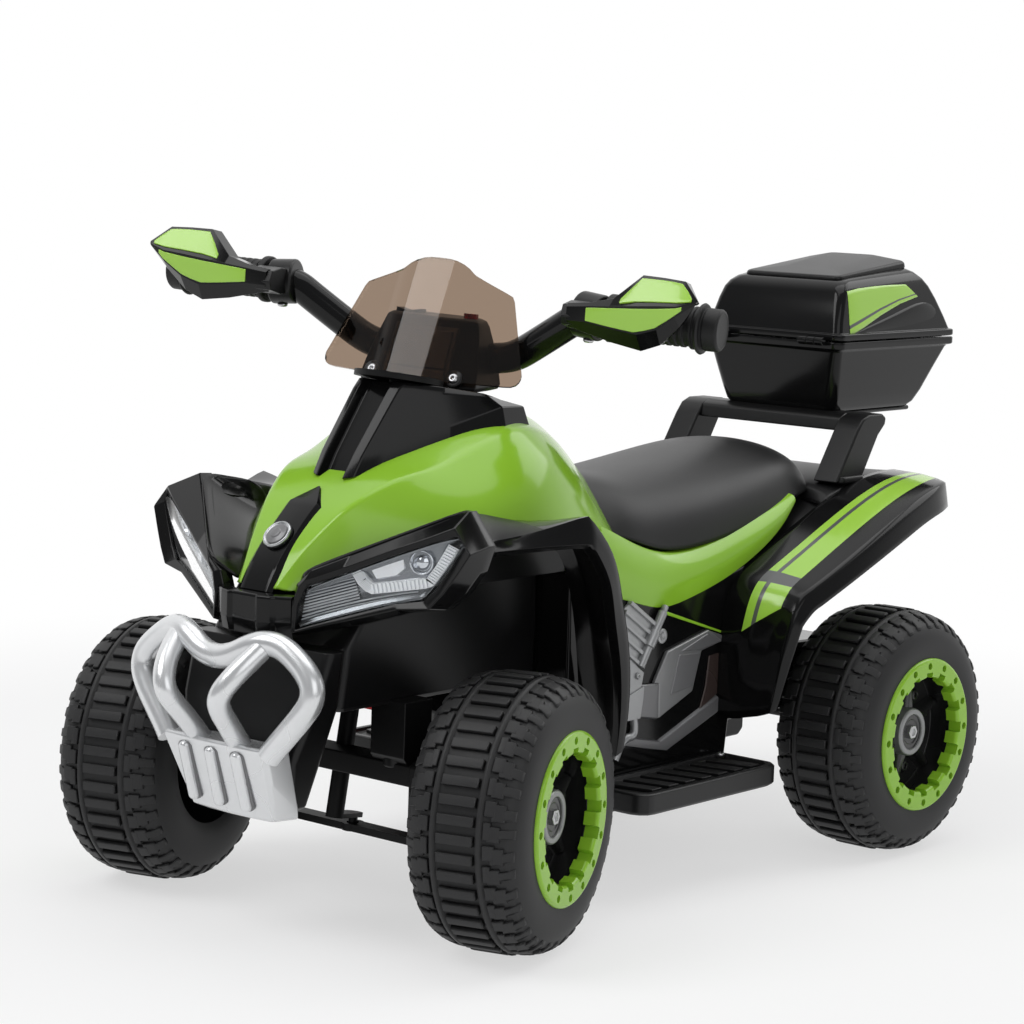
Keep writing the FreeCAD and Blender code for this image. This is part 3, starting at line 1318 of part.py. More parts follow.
pedal_shape = pedal_shape.fuse(cylinder(pin_radius * 1.8, pivot - roll, pivot + roll))
pin_reach = V(pedal_half + side_gap + lug_thick, 0, 0)
pedal_shape = pedal_shape.fuse(cylinder(pin_radius, pivot - pin_reach, pivot + pin_reach))
plunge_top = pivot + pedal_line * (size("pedal_length") * 0.6)
plunge_low = V(plunge_top.x, plunge_top.y, board_low - wall)
pedal_shape = pedal_shape.fuse(cylinder(size("plunger_radius"), plunge_low, plunge_top)).removeSplitter()
plunge_room = size("plunger_radius") + size("free_gap") * 2
board_cut = cylinder(plunge_room, plunge_low - V(0, 0, over), V(plunge_low.x, plunge_low.y, plunge_top.z))
lug_shapes = []
for side in (-1, 1):
    near = pedal_x + side * (pedal_half + side_gap)
    far = near + side * lug_thick
    lug = box(
        V(min(near, far), pedal_y - pin_radius * 2, board_low + size("board_height")),
        V(max(near, far), pedal_y + pin_radius * 2, pedal_z + pin_radius * 2))
    lug_shapes.append(
        lug.cut(cylinder(pin_radius + size("run_gap"), pivot - pin_reach * 1.2, pivot + pin_reach * 1.2)))

# Document objects for the drawn shapes
feature("chassis_tub", tub_shape)
feature("front_frame", bay_shape)
feature("hood", hood_shape)
feature("nose_strip", strip_shape)
feature("front_fascia", mask_shape)
feature("headlight_lenses", Part.makeCompound([lens_shape, mirror(lens_shape)]))
feature("headlight_reflectors", Part.makeCompound([bowl_shape, mirror(bowl_shape)]))
feature("front_fender_left", wing_shape)
feature("front_fender_right", mirror(wing_shape))
feature("steering_cowl", cowl_shape)
feature("rear_body", deck_shape.fuse([rear_shape, mirror(rear_shape)]).removeSplitter())
feature("side_panel_left", panel_shape)
feature("side_panel_right", mirror(panel_shape))
feature("seat", seat_shape)
feature("bull_bar", bumper_shape)
feature("skid_plate", skid_shape)
feature("front_axle_beam", beam_shape)
feature("rack_leg_left", leg_shape)
feature("rack_leg_right", mirror(leg_shape))
feature("rack_beam", rack_shape)
feature("trunk_base", trunk_shape)
feature("rear_axle", rear_axle_shape)
feature("gearbox_housing", case_shape)
feature("drive_motor", motor_shape)
feature("steering_column", column_shape, steer_turn)
feature("handlebar", bar_shape, steer_turn)
feature("dash_housing", dash_shape, steer_turn)
feature("windshield", screen_shape, steer_turn)
feature("handguard_left", guard_shape, steer_turn)
feature("handguard_right", mirror(guard_shape), steer_turn)
feature("grip_left", grip_shape, steer_turn)
feature("grip_right", mirror(grip_shape), steer_turn)
feature("horn_button", button_shape, steer_turn)
feature("direction_switch", rocker_shape, steer_turn)
feature("knuckle_left", knuckle(1), king_turn(1))
feature("knuckle_right", knuckle(-1), king_turn(-1))
feature("tie_rod", rod_shape, FreeCAD.Placement(rod_shift, FreeCAD.Rotation()))
feature("output_gear", output_shape)
feature("reduction_gear", reduction_shape)
feature("motor_pinion", pinion_shape)
feature("accelerator_pedal", pedal_shape)
feature("trunk_lid", lid_shape)

# Parametric bodies
foot_board("footboard_left", 1)
right_board = foot_board("footboard_right", -1)
engine_cover("engine_cover_left", 1)
engine_cover("engine_cover_right", -1)
battery_block()
wheel("front_left", king_turn(1).multiply(wheel_place(1, front_y)))
wheel("front_right", king_turn(-1).multiply(wheel_place(-1, front_y)))
wheel("rear_left", wheel_place(1, rear_y))
wheel("rear_right", wheel_place(-1, rear_y))
doc.recompute()

# The right board gains the pedal lugs and the plunger hole
made.remove(right_board)
right_board.Label = "footboard_right_blank"
feature("footboard_right", right_board.Shape.cut(board_cut).fuse(lug_shapes))

# Row origin: middle of the foot of the whole box, found from the pieces that reach furthest
doc.recompute()
reach_names = (
    "grip_left", "grip_right", "tyre_front_left", "tyre_front_right", "bull_bar", "trunk_base", "trunk_lid")
reach_boxes = [node.Shape.optimalBoundingBox() for node in made if node.Label in reach_names]
middle = V(
    (min(item.XMin for item in reach_boxes) + max(item.XMax for item in reach_boxes)) / 2,
    (min(item.YMin for item in reach_boxes) + max(item.YMax for item in reach_boxes)) / 2, 0)
to_origin = FreeCAD.Placement(-middle, FreeCAD.Rotation())
for node in made:
    node.Placement = to_origin.multiply(node.Placement)
print("moved", round(-middle.x, 3), round(-middle.y, 3))

# Soundness checks, then one file per piece
doc.recompute()
os.makedirs("parts", exist_ok=True)
for node in made:
    shape = node.Shape
    bad = [word for word in node.State if word in ("Invalid", "Error")]
    if bad or shape.isNull() or not shape.isValid():
        raise RuntimeError("part %s is not sound: %s" % (node.Label, bad))
    shape.exportStep("parts/%s.step" % node.Label)
    print(node.Label, len(shape.Solids), round(shape.Volume / 1000, 1))
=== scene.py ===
import bpy
import bmesh
import json
import math
from mathutils import Matrix, Vector


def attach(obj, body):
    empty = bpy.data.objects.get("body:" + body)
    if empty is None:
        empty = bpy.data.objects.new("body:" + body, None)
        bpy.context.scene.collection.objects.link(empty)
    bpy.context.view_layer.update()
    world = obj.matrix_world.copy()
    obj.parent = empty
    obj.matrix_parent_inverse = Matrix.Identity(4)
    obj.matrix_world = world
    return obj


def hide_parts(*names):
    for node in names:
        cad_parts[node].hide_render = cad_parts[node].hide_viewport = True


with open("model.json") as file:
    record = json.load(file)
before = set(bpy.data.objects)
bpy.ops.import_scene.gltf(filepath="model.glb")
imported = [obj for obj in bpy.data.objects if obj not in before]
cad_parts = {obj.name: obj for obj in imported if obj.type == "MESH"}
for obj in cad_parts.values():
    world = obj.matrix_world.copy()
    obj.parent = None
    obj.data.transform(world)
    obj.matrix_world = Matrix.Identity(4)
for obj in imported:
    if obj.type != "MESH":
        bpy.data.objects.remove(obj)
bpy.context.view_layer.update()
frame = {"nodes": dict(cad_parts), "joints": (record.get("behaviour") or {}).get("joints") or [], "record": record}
nodes = frame["nodes"]
scene = bpy.context.scene
joints = {joint["name"]: joint for joint in frame["joints"]}
kingLeft = Vector(joints["king_left"]["pos_m"])
kingRight = Vector(joints["king_right"]["pos_m"])
home = Vector(((kingLeft.x + kingRight.x) / 2, kingLeft.y, 0.0))   # ground under the front axle
unit = 0.001                                                       # one millimetre in metres
sides = ((1, "left"), (-1, "right"))
print("frame loaded:", len(nodes), "nodes")


def mm(x, y, z):
    return Vector((x, y, z)) * unit              # millimetres from home


# camera at the photograph's angle
cameraSet = {
    "place": (1331.1, -1406.4, 522.2), "azimuth": 40.1, "elevation": 7.39, "roll": 1.92, "lens": 104.62,
    "sensor": 36.0, "farClip": 50.0,
}


def makeCamera(settings):
    data = bpy.data.cameras.new("viewCamera")
    data.sensor_width = settings["sensor"]
    data.lens = settings["lens"]
    data.clip_end = settings["farClip"]
    cam = bpy.data.objects.new("viewCamera", data)
    az, el, roll = (math.radians(settings[key]) for key in ("azimuth", "elevation", "roll"))
    back = Vector((math.sin(az) * math.cos(el), -math.cos(az) * math.cos(el), math.sin(el)))
    level = Vector((math.cos(az), math.sin(az), 0.0))
    rise = back.cross(level)
    right = level * math.cos(roll) + rise * math.sin(roll)
    up = rise * math.cos(roll) - level * math.sin(roll)
    turn = Matrix((right, up, back)).transposed().to_4x4()
    cam.matrix_world = Matrix.Translation(home + mm(*settings["place"])) @ turn
    scene.collection.objects.link(cam)
    scene.camera = cam


makeCamera(cameraSet)
print("camera set")


# node tools: an input takes a plain value or another node's output
def fillInputs(tree, node, inputs):
    for label, value in inputs.items():
        if isinstance(value, bpy.types.NodeSocket):
            tree.links.new(value, node.inputs[label])
        else:
            node.inputs[label].default_value = value


def addNode(tree, kind, inputs):
    node = tree.nodes.new("ShaderNode" + kind)
    fillInputs(tree, node, inputs)
    return node


def mathNode(tree, operation, first, second):
    node = tree.nodes.new("ShaderNodeMath")
    node.operation = operation
    fillInputs(tree, node, {0: first, 1: second})
    return node.outputs["Value"]


def vectorNode(tree, operation, inputs):
    node = tree.nodes.new("ShaderNodeVectorMath")
    node.operation = operation
    fillInputs(tree, node, inputs)
    return node.outputs["Value"]


def smoothRamp(tree, value, ends, low=0.0):
    node = tree.nodes.new("ShaderNodeMapRange")
    node.interpolation_type = "SMOOTHSTEP"
    fillInputs(tree, node, {"Value": value, "From Min": ends[0], "From Max": ends[1], "To Min": low})
    return node.outputs["Result"]


def mixShader(tree, fac, first, second):
    return addNode(tree, "MixShader", {"Fac": fac, 1: first, 2: second}).outputs["Shader"]


def mixColor(tree, fac, first, second):
    mix = tree.nodes.new("ShaderNodeMix")
    mix.data_type = "RGBA"
    ends = [end + (1.0,) if isinstance(end, tuple) else end for end in (first, second)]
    fillInputs(tree, mix, {"Factor": fac, 6: ends[0], 7: ends[1]})
    return mix.outputs[2]


def newMaterial(name):
    mat = bpy.data.materials.new(name)
    mat.use_nodes = True
    return mat, mat.node_tree, mat.node_tree.nodes["Principled BSDF"]


# one for rays that show the background: straight, mirrored or through a clear sheet
def seenRays(tree):
    path = tree.nodes.new("ShaderNodeLightPath")
    total = path.outputs["Is Camera Ray"]
    for label in ("Is Glossy Ray", "Is Transmission Ray"):
        total = mathNode(tree, "MAXIMUM", total, path.outputs[label])
    return total


# studio: white floor that fades into a white surround, soft lamps
studioSet = {
    "floorSize": 9.0, "floorColor": (0.93, 0.93, 0.93, 1.0), "floorRough": 0.7, "floorSpec": 0.2,
    "fade": (0.60, 1.10), "veil": 0.60,
    "roomColor": (0.97, 0.98, 1.0, 1.0), "roomStrength": 0.30, "paperColor": (1.0, 1.0, 1.0, 1.0),
    "paperSide": (-0.64, 0.77, 0.0), "sweep": (-0.05, 0.45),
    "aim": (0, 0, 0.2),
    "lamps": (
        ("keyLamp", (-0.9, -2.0, 2.6), 1.6, 34.0),
        ("fillLamp", (2.6, -1.2, 1.5), 2.0, 15.0),
        ("rearLamp", (0.8, 2.2, 2.3), 1.8, 18.0),
        ("topLamp", (0.1, 0.2, 2.9), 2.2, 24.0),
    ),
}


def makeFloor(settings):
    half = settings["floorSize"] / 2
    mesh = bpy.data.meshes.new("studioFloor")
    mesh.from_pydata([(-half, -half, 0), (half, -half, 0), (half, half, 0), (-half, half, 0)], [],
                     [(0, 1, 2, 3)])
    floor = bpy.data.objects.new("studioFloor", mesh)
    scene.collection.objects.link(floor)
    mat, tree, shader = newMaterial("floorPaper")
    fillInputs(tree, shader, {"Base Color": settings["floorColor"], "Roughness": settings["floorRough"],
                              "Specular IOR Level": settings["floorSpec"]})
    white = tree.nodes.new("ShaderNodeEmission")
    coord = tree.nodes.new("ShaderNodeTexCoord")
    reach = vectorNode(tree, "LENGTH", {0: coord.outputs["Object"]})
    ramp = smoothRamp(tree, reach, settings["fade"], settings["veil"])
    fade = mathNode(tree, "MULTIPLY", ramp, seenRays(tree))
    surface = mixShader(tree, fade, shader.outputs["BSDF"], white.outputs["Emission"])
    tree.links.new(surface, tree.nodes["Material Output"].inputs["Surface"])
    mesh.materials.append(mat)


# the white paper hangs behind, the room in front is dim
def makeSurround(settings):
    world = bpy.data.worlds.new("studioSurround")
    world.use_nodes = True
    scene.world = world
    tree = world.node_tree
    room = tree.nodes["Background"]
    fillInputs(tree, room, {"Color": settings["roomColor"], "Strength": settings["roomStrength"]})
    paper = addNode(tree, "Background", {"Color": settings["paperColor"]})
    coord = tree.nodes.new("ShaderNodeTexCoord")
    toward = vectorNode(tree, "DOT_PRODUCT", {0: coord.outputs["Generated"], 1: settings["paperSide"]})
    shown = mathNode(tree, "MULTIPLY", seenRays(tree), smoothRamp(tree, toward, settings["sweep"]))
    surface = mixShader(tree, shown, room.outputs["Background"], paper.outputs["Background"])
    tree.links.new(surface, tree.nodes["World Output"].inputs["Surface"])


def makeLamps(settings):
    for name, place, size, power in settings["lamps"]:
        data = bpy.data.lights.new(name, "AREA")
        data.size = size
        data.energy = power
        lamp = bpy.data.objects.new(name, data)
        lamp.location = place
        lamp.rotation_euler = (Vector(settings["aim"]) - Vector(place)).to_track_quat("-Z", "Y").to_euler()
        scene.collection.objects.link(lamp)


makeFloor(studioSet)
makeSurround(studioSet)
makeLamps(studioSet)
scene.view_settings.view_transform = "Standard"
print("studio set")

# shared surface effects as node groups: moulded grain, rubbed edges, resting dust
groupSet = {
    "mouldGrain": {"sockets": {"Scale": 900.0, "Drift": 9.0}, "details": {"Scale": 3.0, "Drift": 2.0}},
    "edgeRub": {"sockets": {"Amount": 0.5, "Scale": 120.0}, "range": (0.52, 0.62), "detail": 2.0},
    "restingDust": {"sockets": {"Amount": 0.1, "Scale": 40.0}, "range": (0.2, 1.0), "detail": 5.0},
}


def newGroup(name, outputs):
    group = bpy.data.node_groups.new(name, "ShaderNodeTree")
    for label, value in groupSet[name]["sockets"].items():
        socket = group.interface.new_socket(name=label, in_out="INPUT", socket_type="NodeSocketFloat")
        socket.default_value = value
    for label in outputs:
        group.interface.new_socket(name=label, in_out="OUTPUT", socket_type="NodeSocketFloat")
    return group, group.nodes.new("NodeGroupInput"), group.nodes.new("NodeGroupOutput")


def noiseOf(tree, scale, detail):
    coord = tree.nodes.new("ShaderNodeTexCoord")
    inputs = {"Vector": coord.outputs["Object"], "Scale": scale, "Detail": detail}
    return addNode(tree, "TexNoise", inputs).outputs["Fac"]


def makeGrainGroup(name):
    group, start, end = newGroup(name, ("Height", "Drift"))
    details = groupSet[name]["details"]
    fine, wide = (noiseOf(group, start.outputs[key], details[key]) for key in ("Scale", "Drift"))
    fillInputs(group, end, {"Height": fine, "Drift": wide})
    return group


# edges are rubbed where they are sharp, dust rests on faces that look up
def makeMaskGroup(name, upward):
    settings = groupSet[name]
    group, start, end = newGroup(name, ("Mask",))
    geo = group.nodes.new("ShaderNodeNewGeometry")
    source = geo.outputs["Pointiness"]
    if upward:
        source = addNode(group, "SeparateXYZ", {"Vector": geo.outputs["Normal"]}).outputs["Z"]
    low, high = settings["range"]
    ramp = addNode(group, "MapRange", {"Value": source, "From Min": low, "From Max": high})
    noise = noiseOf(group, start.outputs["Scale"], settings["detail"])
    spots = mathNode(group, "MULTIPLY", ramp.outputs["Result"], noise)
    fillInputs(group, end, {"Mask": mathNode(group, "MULTIPLY", spots, start.outputs["Amount"])})
    return group


grainGroup = makeGrainGroup("mouldGrain")
wearGroup = makeMaskGroup("edgeRub", False)
dustGroup = makeMaskGroup("restingDust", True)

# finishes of the mouldings: grain is scale and height, the last two are specular level and metal
finishKeys = ("color", "rough", "coat", "grain", "rub", "dust", "spec", "metal")
finishSet = {
    "greenGloss": ((0.262, 0.515, 0.030), (0.10, 0.20), 0.12, (700, 0.02), 0.10, 0.015, 0.38, 0.0),
    "blackGloss": ((0.0034, 0.0034, 0.0036), (0.08, 0.16), 0.0, (600, 0.015), 0.08, 0.003, 0.24, 0.0),
    "blackSatin": ((0.0052, 0.0052, 0.0055), (0.28, 0.40), 0.0, (1500, 0.10), 0.12, 0.005, 0.28, 0.0),
    "innerBlack": ((0.0045, 0.0045, 0.0047), (0.40, 0.55), 0.0, (1200, 0.08), 0.06, 0.003, 0.18, 0.0),
    "seatSkin": ((0.0075, 0.0075, 0.0078), (0.36, 0.46), 0.0, (2200, 0.22), 0.08, 0.008, 0.38, 0.0),
    "tyreMould": ((0.0170, 0.0170, 0.0176), (0.46, 0.60), 0.0, (1300, 0.14), 0.30, 0.030, 0.34, 0.0),
    "silverCoat": ((0.70, 0.71, 0.72), (0.22, 0.32), 0.2, (2400, 0.04), 0.20, 0.01, 0.5, 0.66),
    "dressGrey": ((0.16, 0.16, 0.165), (0.28, 0.40), 0.3, (900, 0.03), 0.15, 0.02, 0.5, 0.3),
    "lampChrome": ((0.52, 0.54, 0.57), (0.06, 0.12), 0.0, (500, 0.02), 0.0, 0.0, 0.5, 1.0),
    "axleSteel": ((0.46, 0.46, 0.47), (0.22, 0.36), 0.0, (800, 0.05), 0.2, 0.02, 0.5, 1.0),
    "gearNylon": ((0.72, 0.70, 0.62), (0.40, 0.50), 0.0, (900, 0.05), 0.1, 0.0, 0.5, 0.0),
    "pedalRed": ((0.50, 0.010, 0.012), (0.18, 0.28), 0.3, (800, 0.03), 0.1, 0.02, 0.5, 0.0),
    "badgeSilver": ((0.42, 0.43, 0.44), (0.20, 0.32), 0.3, (1500, 0.05), 0.2, 0.0, 0.5, 0.9),
    "lampFrost": ((0.74, 0.76, 0.78), (0.16, 0.26), 0.4, (900, 0.03), 0.0, 0.0, 0.5, 0.15),
    "engineSilver": ((0.33, 0.335, 0.34), (0.26, 0.42), 0.3, (1400, 0.06), 0.3, 0.02, 0.5, 0.55),
    # dark brown used only for the painted shade in the recess behind the engine case
    "dressBrown": ((0.050, 0.034, 0.030), (0.22, 0.34), 0.3, (900, 0.04), 0.1, 0.02, 0.5, 0.2),
    "boardSatin": ((0.0062, 0.0062, 0.0065), (0.30, 0.44), 0.0, (1700, 0.14), 0.20, 0.020, 0.34, 0.0),
    "stripeGreen": ((0.330, 0.600, 0.058), (0.16, 0.26), 0.4, (800, 0.02), 0.05, 0.01, 0.5, 0.0),
    "stripeGrey": ((0.075, 0.078, 0.080), (0.24, 0.34), 0.3, (800, 0.02), 0.05, 0.01, 0.5, 0.0),
    "dashGrey": ((0.030, 0.030, 0.032), (0.30, 0.42), 0.0, (1300, 0.08), 0.1, 0.01, 0.5, 0.0),
    "gripRubber": ((0.0085, 0.0085, 0.0088), (0.50, 0.62), 0.0, (1800, 0.16), 0.2, 0.015, 0.34, 0.0),
    # pale, less metallic copy of the lamp chrome: painted highlight on the ribs
    "lampRib": ((0.46, 0.48, 0.50), (0.18, 0.28), 0.2, (900, 0.03), 0.0, 0.0, 0.5, 0.3),
    "hubBlack": ((0.0085, 0.0085, 0.0088), (0.20, 0.32), 0.15, (800, 0.05), 0.25, 0.015, 0.5, 0.0),
    # dark copy of the lamp chrome: painted shade in the bowl between the ribs
    "lampShade": ((0.17, 0.18, 0.19), (0.12, 0.20), 0.0, (500, 0.02), 0.0, 0.0, 0.5, 0.9),
    "caseGrey": ((0.22, 0.222, 0.225), (0.24, 0.38), 0.3, (1200, 0.05), 0.25, 0.02, 0.5, 0.4),
}
agingSet = {"pale": (1.16, 0.002), "rubbed": (1.6, 0.02), "dust": (0.42, 0.41, 0.39), "coatRough": 0.06}
bumpDepth = 0.0004


def placeGroup(tree, group, **values):
    node = tree.nodes.new("ShaderNodeGroup")
    node.node_tree = group
    fillInputs(tree, node, values)
    return node


def linkGrain(tree, shader, grain, rough, strength):
    drift = {"Value": grain.outputs["Drift"], "To Min": rough[0], "To Max": rough[1]}
    gloss = addNode(tree, "MapRange", drift).outputs["Result"]
    relief = {"Height": grain.outputs["Height"], "Strength": strength, "Distance": bumpDepth}
    normal = addNode(tree, "Bump", relief).outputs["Normal"]
    fillInputs(tree, shader, {"Roughness": gloss, "Normal": normal})


def makeFinish(name, look):
    mat, tree, shader = newMaterial(name)
    scale, height = look["grain"]
    grain = placeGroup(tree, grainGroup, Scale=scale)
    wear = placeGroup(tree, wearGroup, Amount=look["rub"])
    dust = placeGroup(tree, dustGroup, Amount=look["dust"])
    tones = {}
    for kind in ("pale", "rubbed"):
        gain, lift = agingSet[kind]
        tones[kind] = tuple(min(1.0, part * gain + lift) for part in look["color"])
    tone = mixColor(tree, grain.outputs["Drift"], look["color"], tones["pale"])
    tone = mixColor(tree, wear.outputs["Mask"], tone, tones["rubbed"])
    tone = mixColor(tree, dust.outputs["Mask"], tone, agingSet["dust"])
    linkGrain(tree, shader, grain, look["rough"], height)
    fillInputs(tree, shader, {"Base Color": tone, "Metallic": look["metal"], "Coat Weight": look["coat"],
                              "Coat Roughness": agingSet["coatRough"], "Specular IOR Level": look["spec"]})
    return mat


finish = {name: makeFinish(name, dict(zip(finishKeys, row))) for name, row in finishSet.items()}

# clear sheets: smoky screen, clear lamp covers
clearSet = {
    "grain": 60.0, "dust": 0.05, "rough": (0.02, 0.044), "height": 0.01, "coat": 0.5, "coatRough": 0.02,
    "looks": {
        "smokeSheet": {"color": (0.31, 0.225, 0.165), "worn": (0.42, 0.36, 0.30), "index": 1.14},
        "clearLens": {"color": (0.96, 0.97, 0.98), "worn": (0.80, 0.79, 0.77), "index": 1.06},
    },
}


def makeClear(name, settings):
    look = settings["looks"][name]
    mat, tree, shader = newMaterial(name)
    grain = placeGroup(tree, grainGroup, Scale=settings["grain"])
    dust = placeGroup(tree, dustGroup, Amount=settings["dust"])
    tone = mixColor(tree, dust.outputs["Mask"], look["color"], look["worn"])
    linkGrain(tree, shader, grain, settings["rough"], settings["height"])
    fillInputs(tree, shader, {"Base Color": tone, "Transmission Weight": 1.0, "IOR": look["index"],
                              "Coat Weight": settings["coat"], "Coat Roughness": settings["coatRough"]})
    return mat


for name in clearSet["looks"]:
    finish[name] = makeClear(name, clearSet)

# which finish each record slot gets on the solids that stay
slotFinish = {
    "green_plastic": "greenGloss", "black_gloss": "blackGloss", "black_satin": "blackSatin",
    "tyre_plastic": "tyreMould", "silver_plastic": "silverCoat", "grey_dress": "dressGrey",
    "lamp_chrome": "lampChrome", "lamp_clear": "clearLens", "smoke_clear": "smokeSheet",
    "axle_steel": "axleSteel", "gear_nylon": "gearNylon", "pedal_red": "pedalRed",
    "grip_rubber": "gripRubber", "inner_black": "innerBlack",
}
paintedBlack = ("tie_rod", "front_axle_beam", "steering_column", "knuckle_left", "knuckle_right", "rear_axle")
for entry in frame["record"]["subparts"]:
    look = "innerBlack" if entry["node"] in paintedBlack else slotFinish[entry["material_slot"]]
    solid = nodes[entry["node"]]
    solid.data.materials.clear()
    solid.data.materials.append(finish[look])
print("finishes made:", len(finish))

# steering pieces are built straight ahead and stand turned, like the front wheels
steerSet = {"pivot": (0, 54, 360), "rake": 10.0, "rest": 16.0}
rake = math.radians(steerSet["rake"])
pivot = Matrix.Translation(mm(*steerSet["pivot"]))
restTurn = Matrix.Rotation(math.radians(steerSet["rest"]), 4, Vector((0, math.sin(rake), math.cos(rake))))
steerTurn = pivot @ restTurn @ Matrix.Translation(-mm(*steerSet["pivot"]))

# mesh tools: rows of millimetre points become grids, closed lofts, tubes and turned shapes
mirrorGap = 0.0003
tubeSet = {"order": 3, "ringSteps": 7}
screwSet = {
    "steps": 18, "head": ((-1.5, 1.0), (0.6, 1.0), (1.5, 0.75), (1.7, 0.42), (0.7, 0.34)), "tip": 0.05,
}
cornerSteps = 5


def gridMesh(rows, side=1, loop=False, caps=False):
    wide = len(rows[0])
    points = [mm(side * x, y, z) for row in rows for x, y, z in row]
    faces = []
    for r in range(len(rows) - 1):
        for c in range(wide if loop else wide - 1):
            d = (c + 1) % wide
            faces.append((r * wide + c, r * wide + d, (r + 1) * wide + d, (r + 1) * wide + c))
    if caps:
        faces.append(tuple(reversed(range(wide))))
        faces.append(tuple(range((len(rows) - 1) * wide, len(rows) * wide)))
    if side < 0:
        faces = [face[::-1] for face in faces]
    mesh = bpy.data.meshes.new("grid")
    mesh.from_pydata(points, [], faces)
    return mesh


def creaseGrid(mesh, wide, rowsKept=(), colsKept=(), amount=0.7):
    mark = mesh.attributes.get("crease_edge") or mesh.attributes.new("crease_edge", "FLOAT", "EDGE")
    for edge in mesh.edges:
        rowA, colA = divmod(edge.vertices[0], wide)
        rowB, colB = divmod(edge.vertices[1], wide)
        if (rowA == rowB and rowA in rowsKept) or (colA == colB and colA in colsKept):
            mark.data[edge.index].value = amount


def paintGrid(mesh, picker, wide):
    for index, poly in enumerate(mesh.polygons):
        poly.material_index = picker(index // wide, index % wide)


def addPiece(name, mesh, looks, body="chassis", swaps=(), mirror=False, levels=0, thick=0.0, bevel=0.0,
             angle=32.0, segments=2):
    mesh.name = name
    if body == "steering":
        mesh.transform(steerTurn)
    for poly in mesh.polygons:
        poly.use_smooth = True
    looks = (looks,) if isinstance(looks, str) else looks
    for look in looks:
        mesh.materials.append(finish[look])
    piece = bpy.data.objects.new(name, mesh)
    piece.location = home
    scene.collection.objects.link(piece)
    if mirror:
        pair = piece.modifiers.new("pair", "MIRROR")
        pair.use_clip = True
        pair.merge_threshold = mirrorGap
    if levels:
        soft = piece.modifiers.new("soft", "SUBSURF")
        soft.levels = levels
        soft.render_levels = levels
    if thick:
        wall = piece.modifiers.new("wall", "SOLIDIFY")
        wall.thickness = thick * unit
        wall.offset = -1.0
    if bevel:
        edge = piece.modifiers.new("edge", "BEVEL")
        edge.width = bevel * unit
        edge.segments = segments
        edge.limit_method = "ANGLE"
        edge.angle_limit = math.radians(angle)
    piece.modifiers.new("shade", "WEIGHTED_NORMAL").keep_sharp = True
    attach(piece, body)
    if swaps:
        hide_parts(*swaps)


def joinMesh(parts):
    whole = bmesh.new()
    for part in parts:
        whole.from_mesh(part)
        bpy.data.meshes.remove(part)
    bmesh.ops.recalc_face_normals(whole, faces=whole.faces)
    mesh = bpy.data.meshes.new("joined")
    whole.to_mesh(mesh)
    whole.free()
    return mesh


def tubeMesh(points, radius, fine=14):
    curve = bpy.data.curves.new("tube", "CURVE")
    curve.dimensions = "3D"
    curve.bevel_depth = radius * unit
    curve.bevel_resolution = tubeSet["ringSteps"]
    curve.use_fill_caps = True
    line = curve.splines.new("NURBS")
    line.points.add(len(points) - 1)
    for knot, place in zip(line.points, points):
        knot.co = mm(*place).to_4d()
    line.order_u = tubeSet["order"]
    line.use_endpoint_u = True
    line.resolution_u = fine
    holder = bpy.data.objects.new("tube", curve)
    mesh = bpy.data.meshes.new_from_object(holder)
    bpy.data.objects.remove(holder)
    bpy.data.curves.remove(curve)
    mesh.materials.clear()
    return mesh


def polar(along, radius, angle):
    return (along, radius * math.cos(angle), radius * math.sin(angle))


def turnedMesh(profile, steps=48, spot=(0, 0, 0), axis=(1, 0, 0), closed=False):
    rows = []
    for along, radius in profile:
        rows.append([polar(along, radius, 2 * math.pi * step / steps) for step in range(steps)])
    if closed:
        rows.append(rows[0])
    mesh = gridMesh(rows, loop=True, caps=not closed)
    turn = Vector((1, 0, 0)).rotation_difference(Vector(axis)).to_matrix().to_4x4()
    mesh.transform(Matrix.Translation(mm(*spot)) @ turn)
    return mesh


def slabMesh(outline, axis, low, high, side=1):
    spot = "xyz".index(axis)
    rows = []
    for level in (low, high):
        rows.append([place[:spot] + (level,) + place[spot:] for place in outline])
    return joinMesh([gridMesh(rows, side=side, loop=True, caps=True)])


def screwMesh(spot, axis, radius=3.4):
    profile = [(along, radius * share) for along, share in screwSet["head"]]
    return turnedMesh(profile + [(profile[-1][0], screwSet["tip"])], screwSet["steps"], spot, axis)


# a level ring with rounded corners, raised toward the back by the tilt
def boxRing(half, front, back, z, radius, tilt=0.0):
    ring = []
    for side, end, start in ((1, back, 0.0), (-1, back, 90.0), (-1, front, 180.0), (1, front, 270.0)):
        midX = side * (half - radius)
        midY = end + (radius if end == front else -radius)
        for step in range(cornerSteps):
            angle = math.radians(start + 90.0 * step / (cornerSteps - 1))
            x = midX + radius * math.cos(angle)
            y = midY + radius * math.sin(angle)
            ring.append((x, y, z + tilt * (y - front) / (back - front)))
    return ring


# straight steps between listed pairs
def between(pairs, x):
    for low, high in zip(pairs, pairs[1:]):
        if low[0] <= x <= high[0]:
            return low[1] + (high[1] - low[1]) * (x - low[0]) / (high[0] - low[0])
    return pairs[-1][1]


# a line from the left end to the middle, carried on to the right
def wholeLine(half):
    return list(half) + [(-x, y, z) for x, y, z in reversed(half[:-1])]


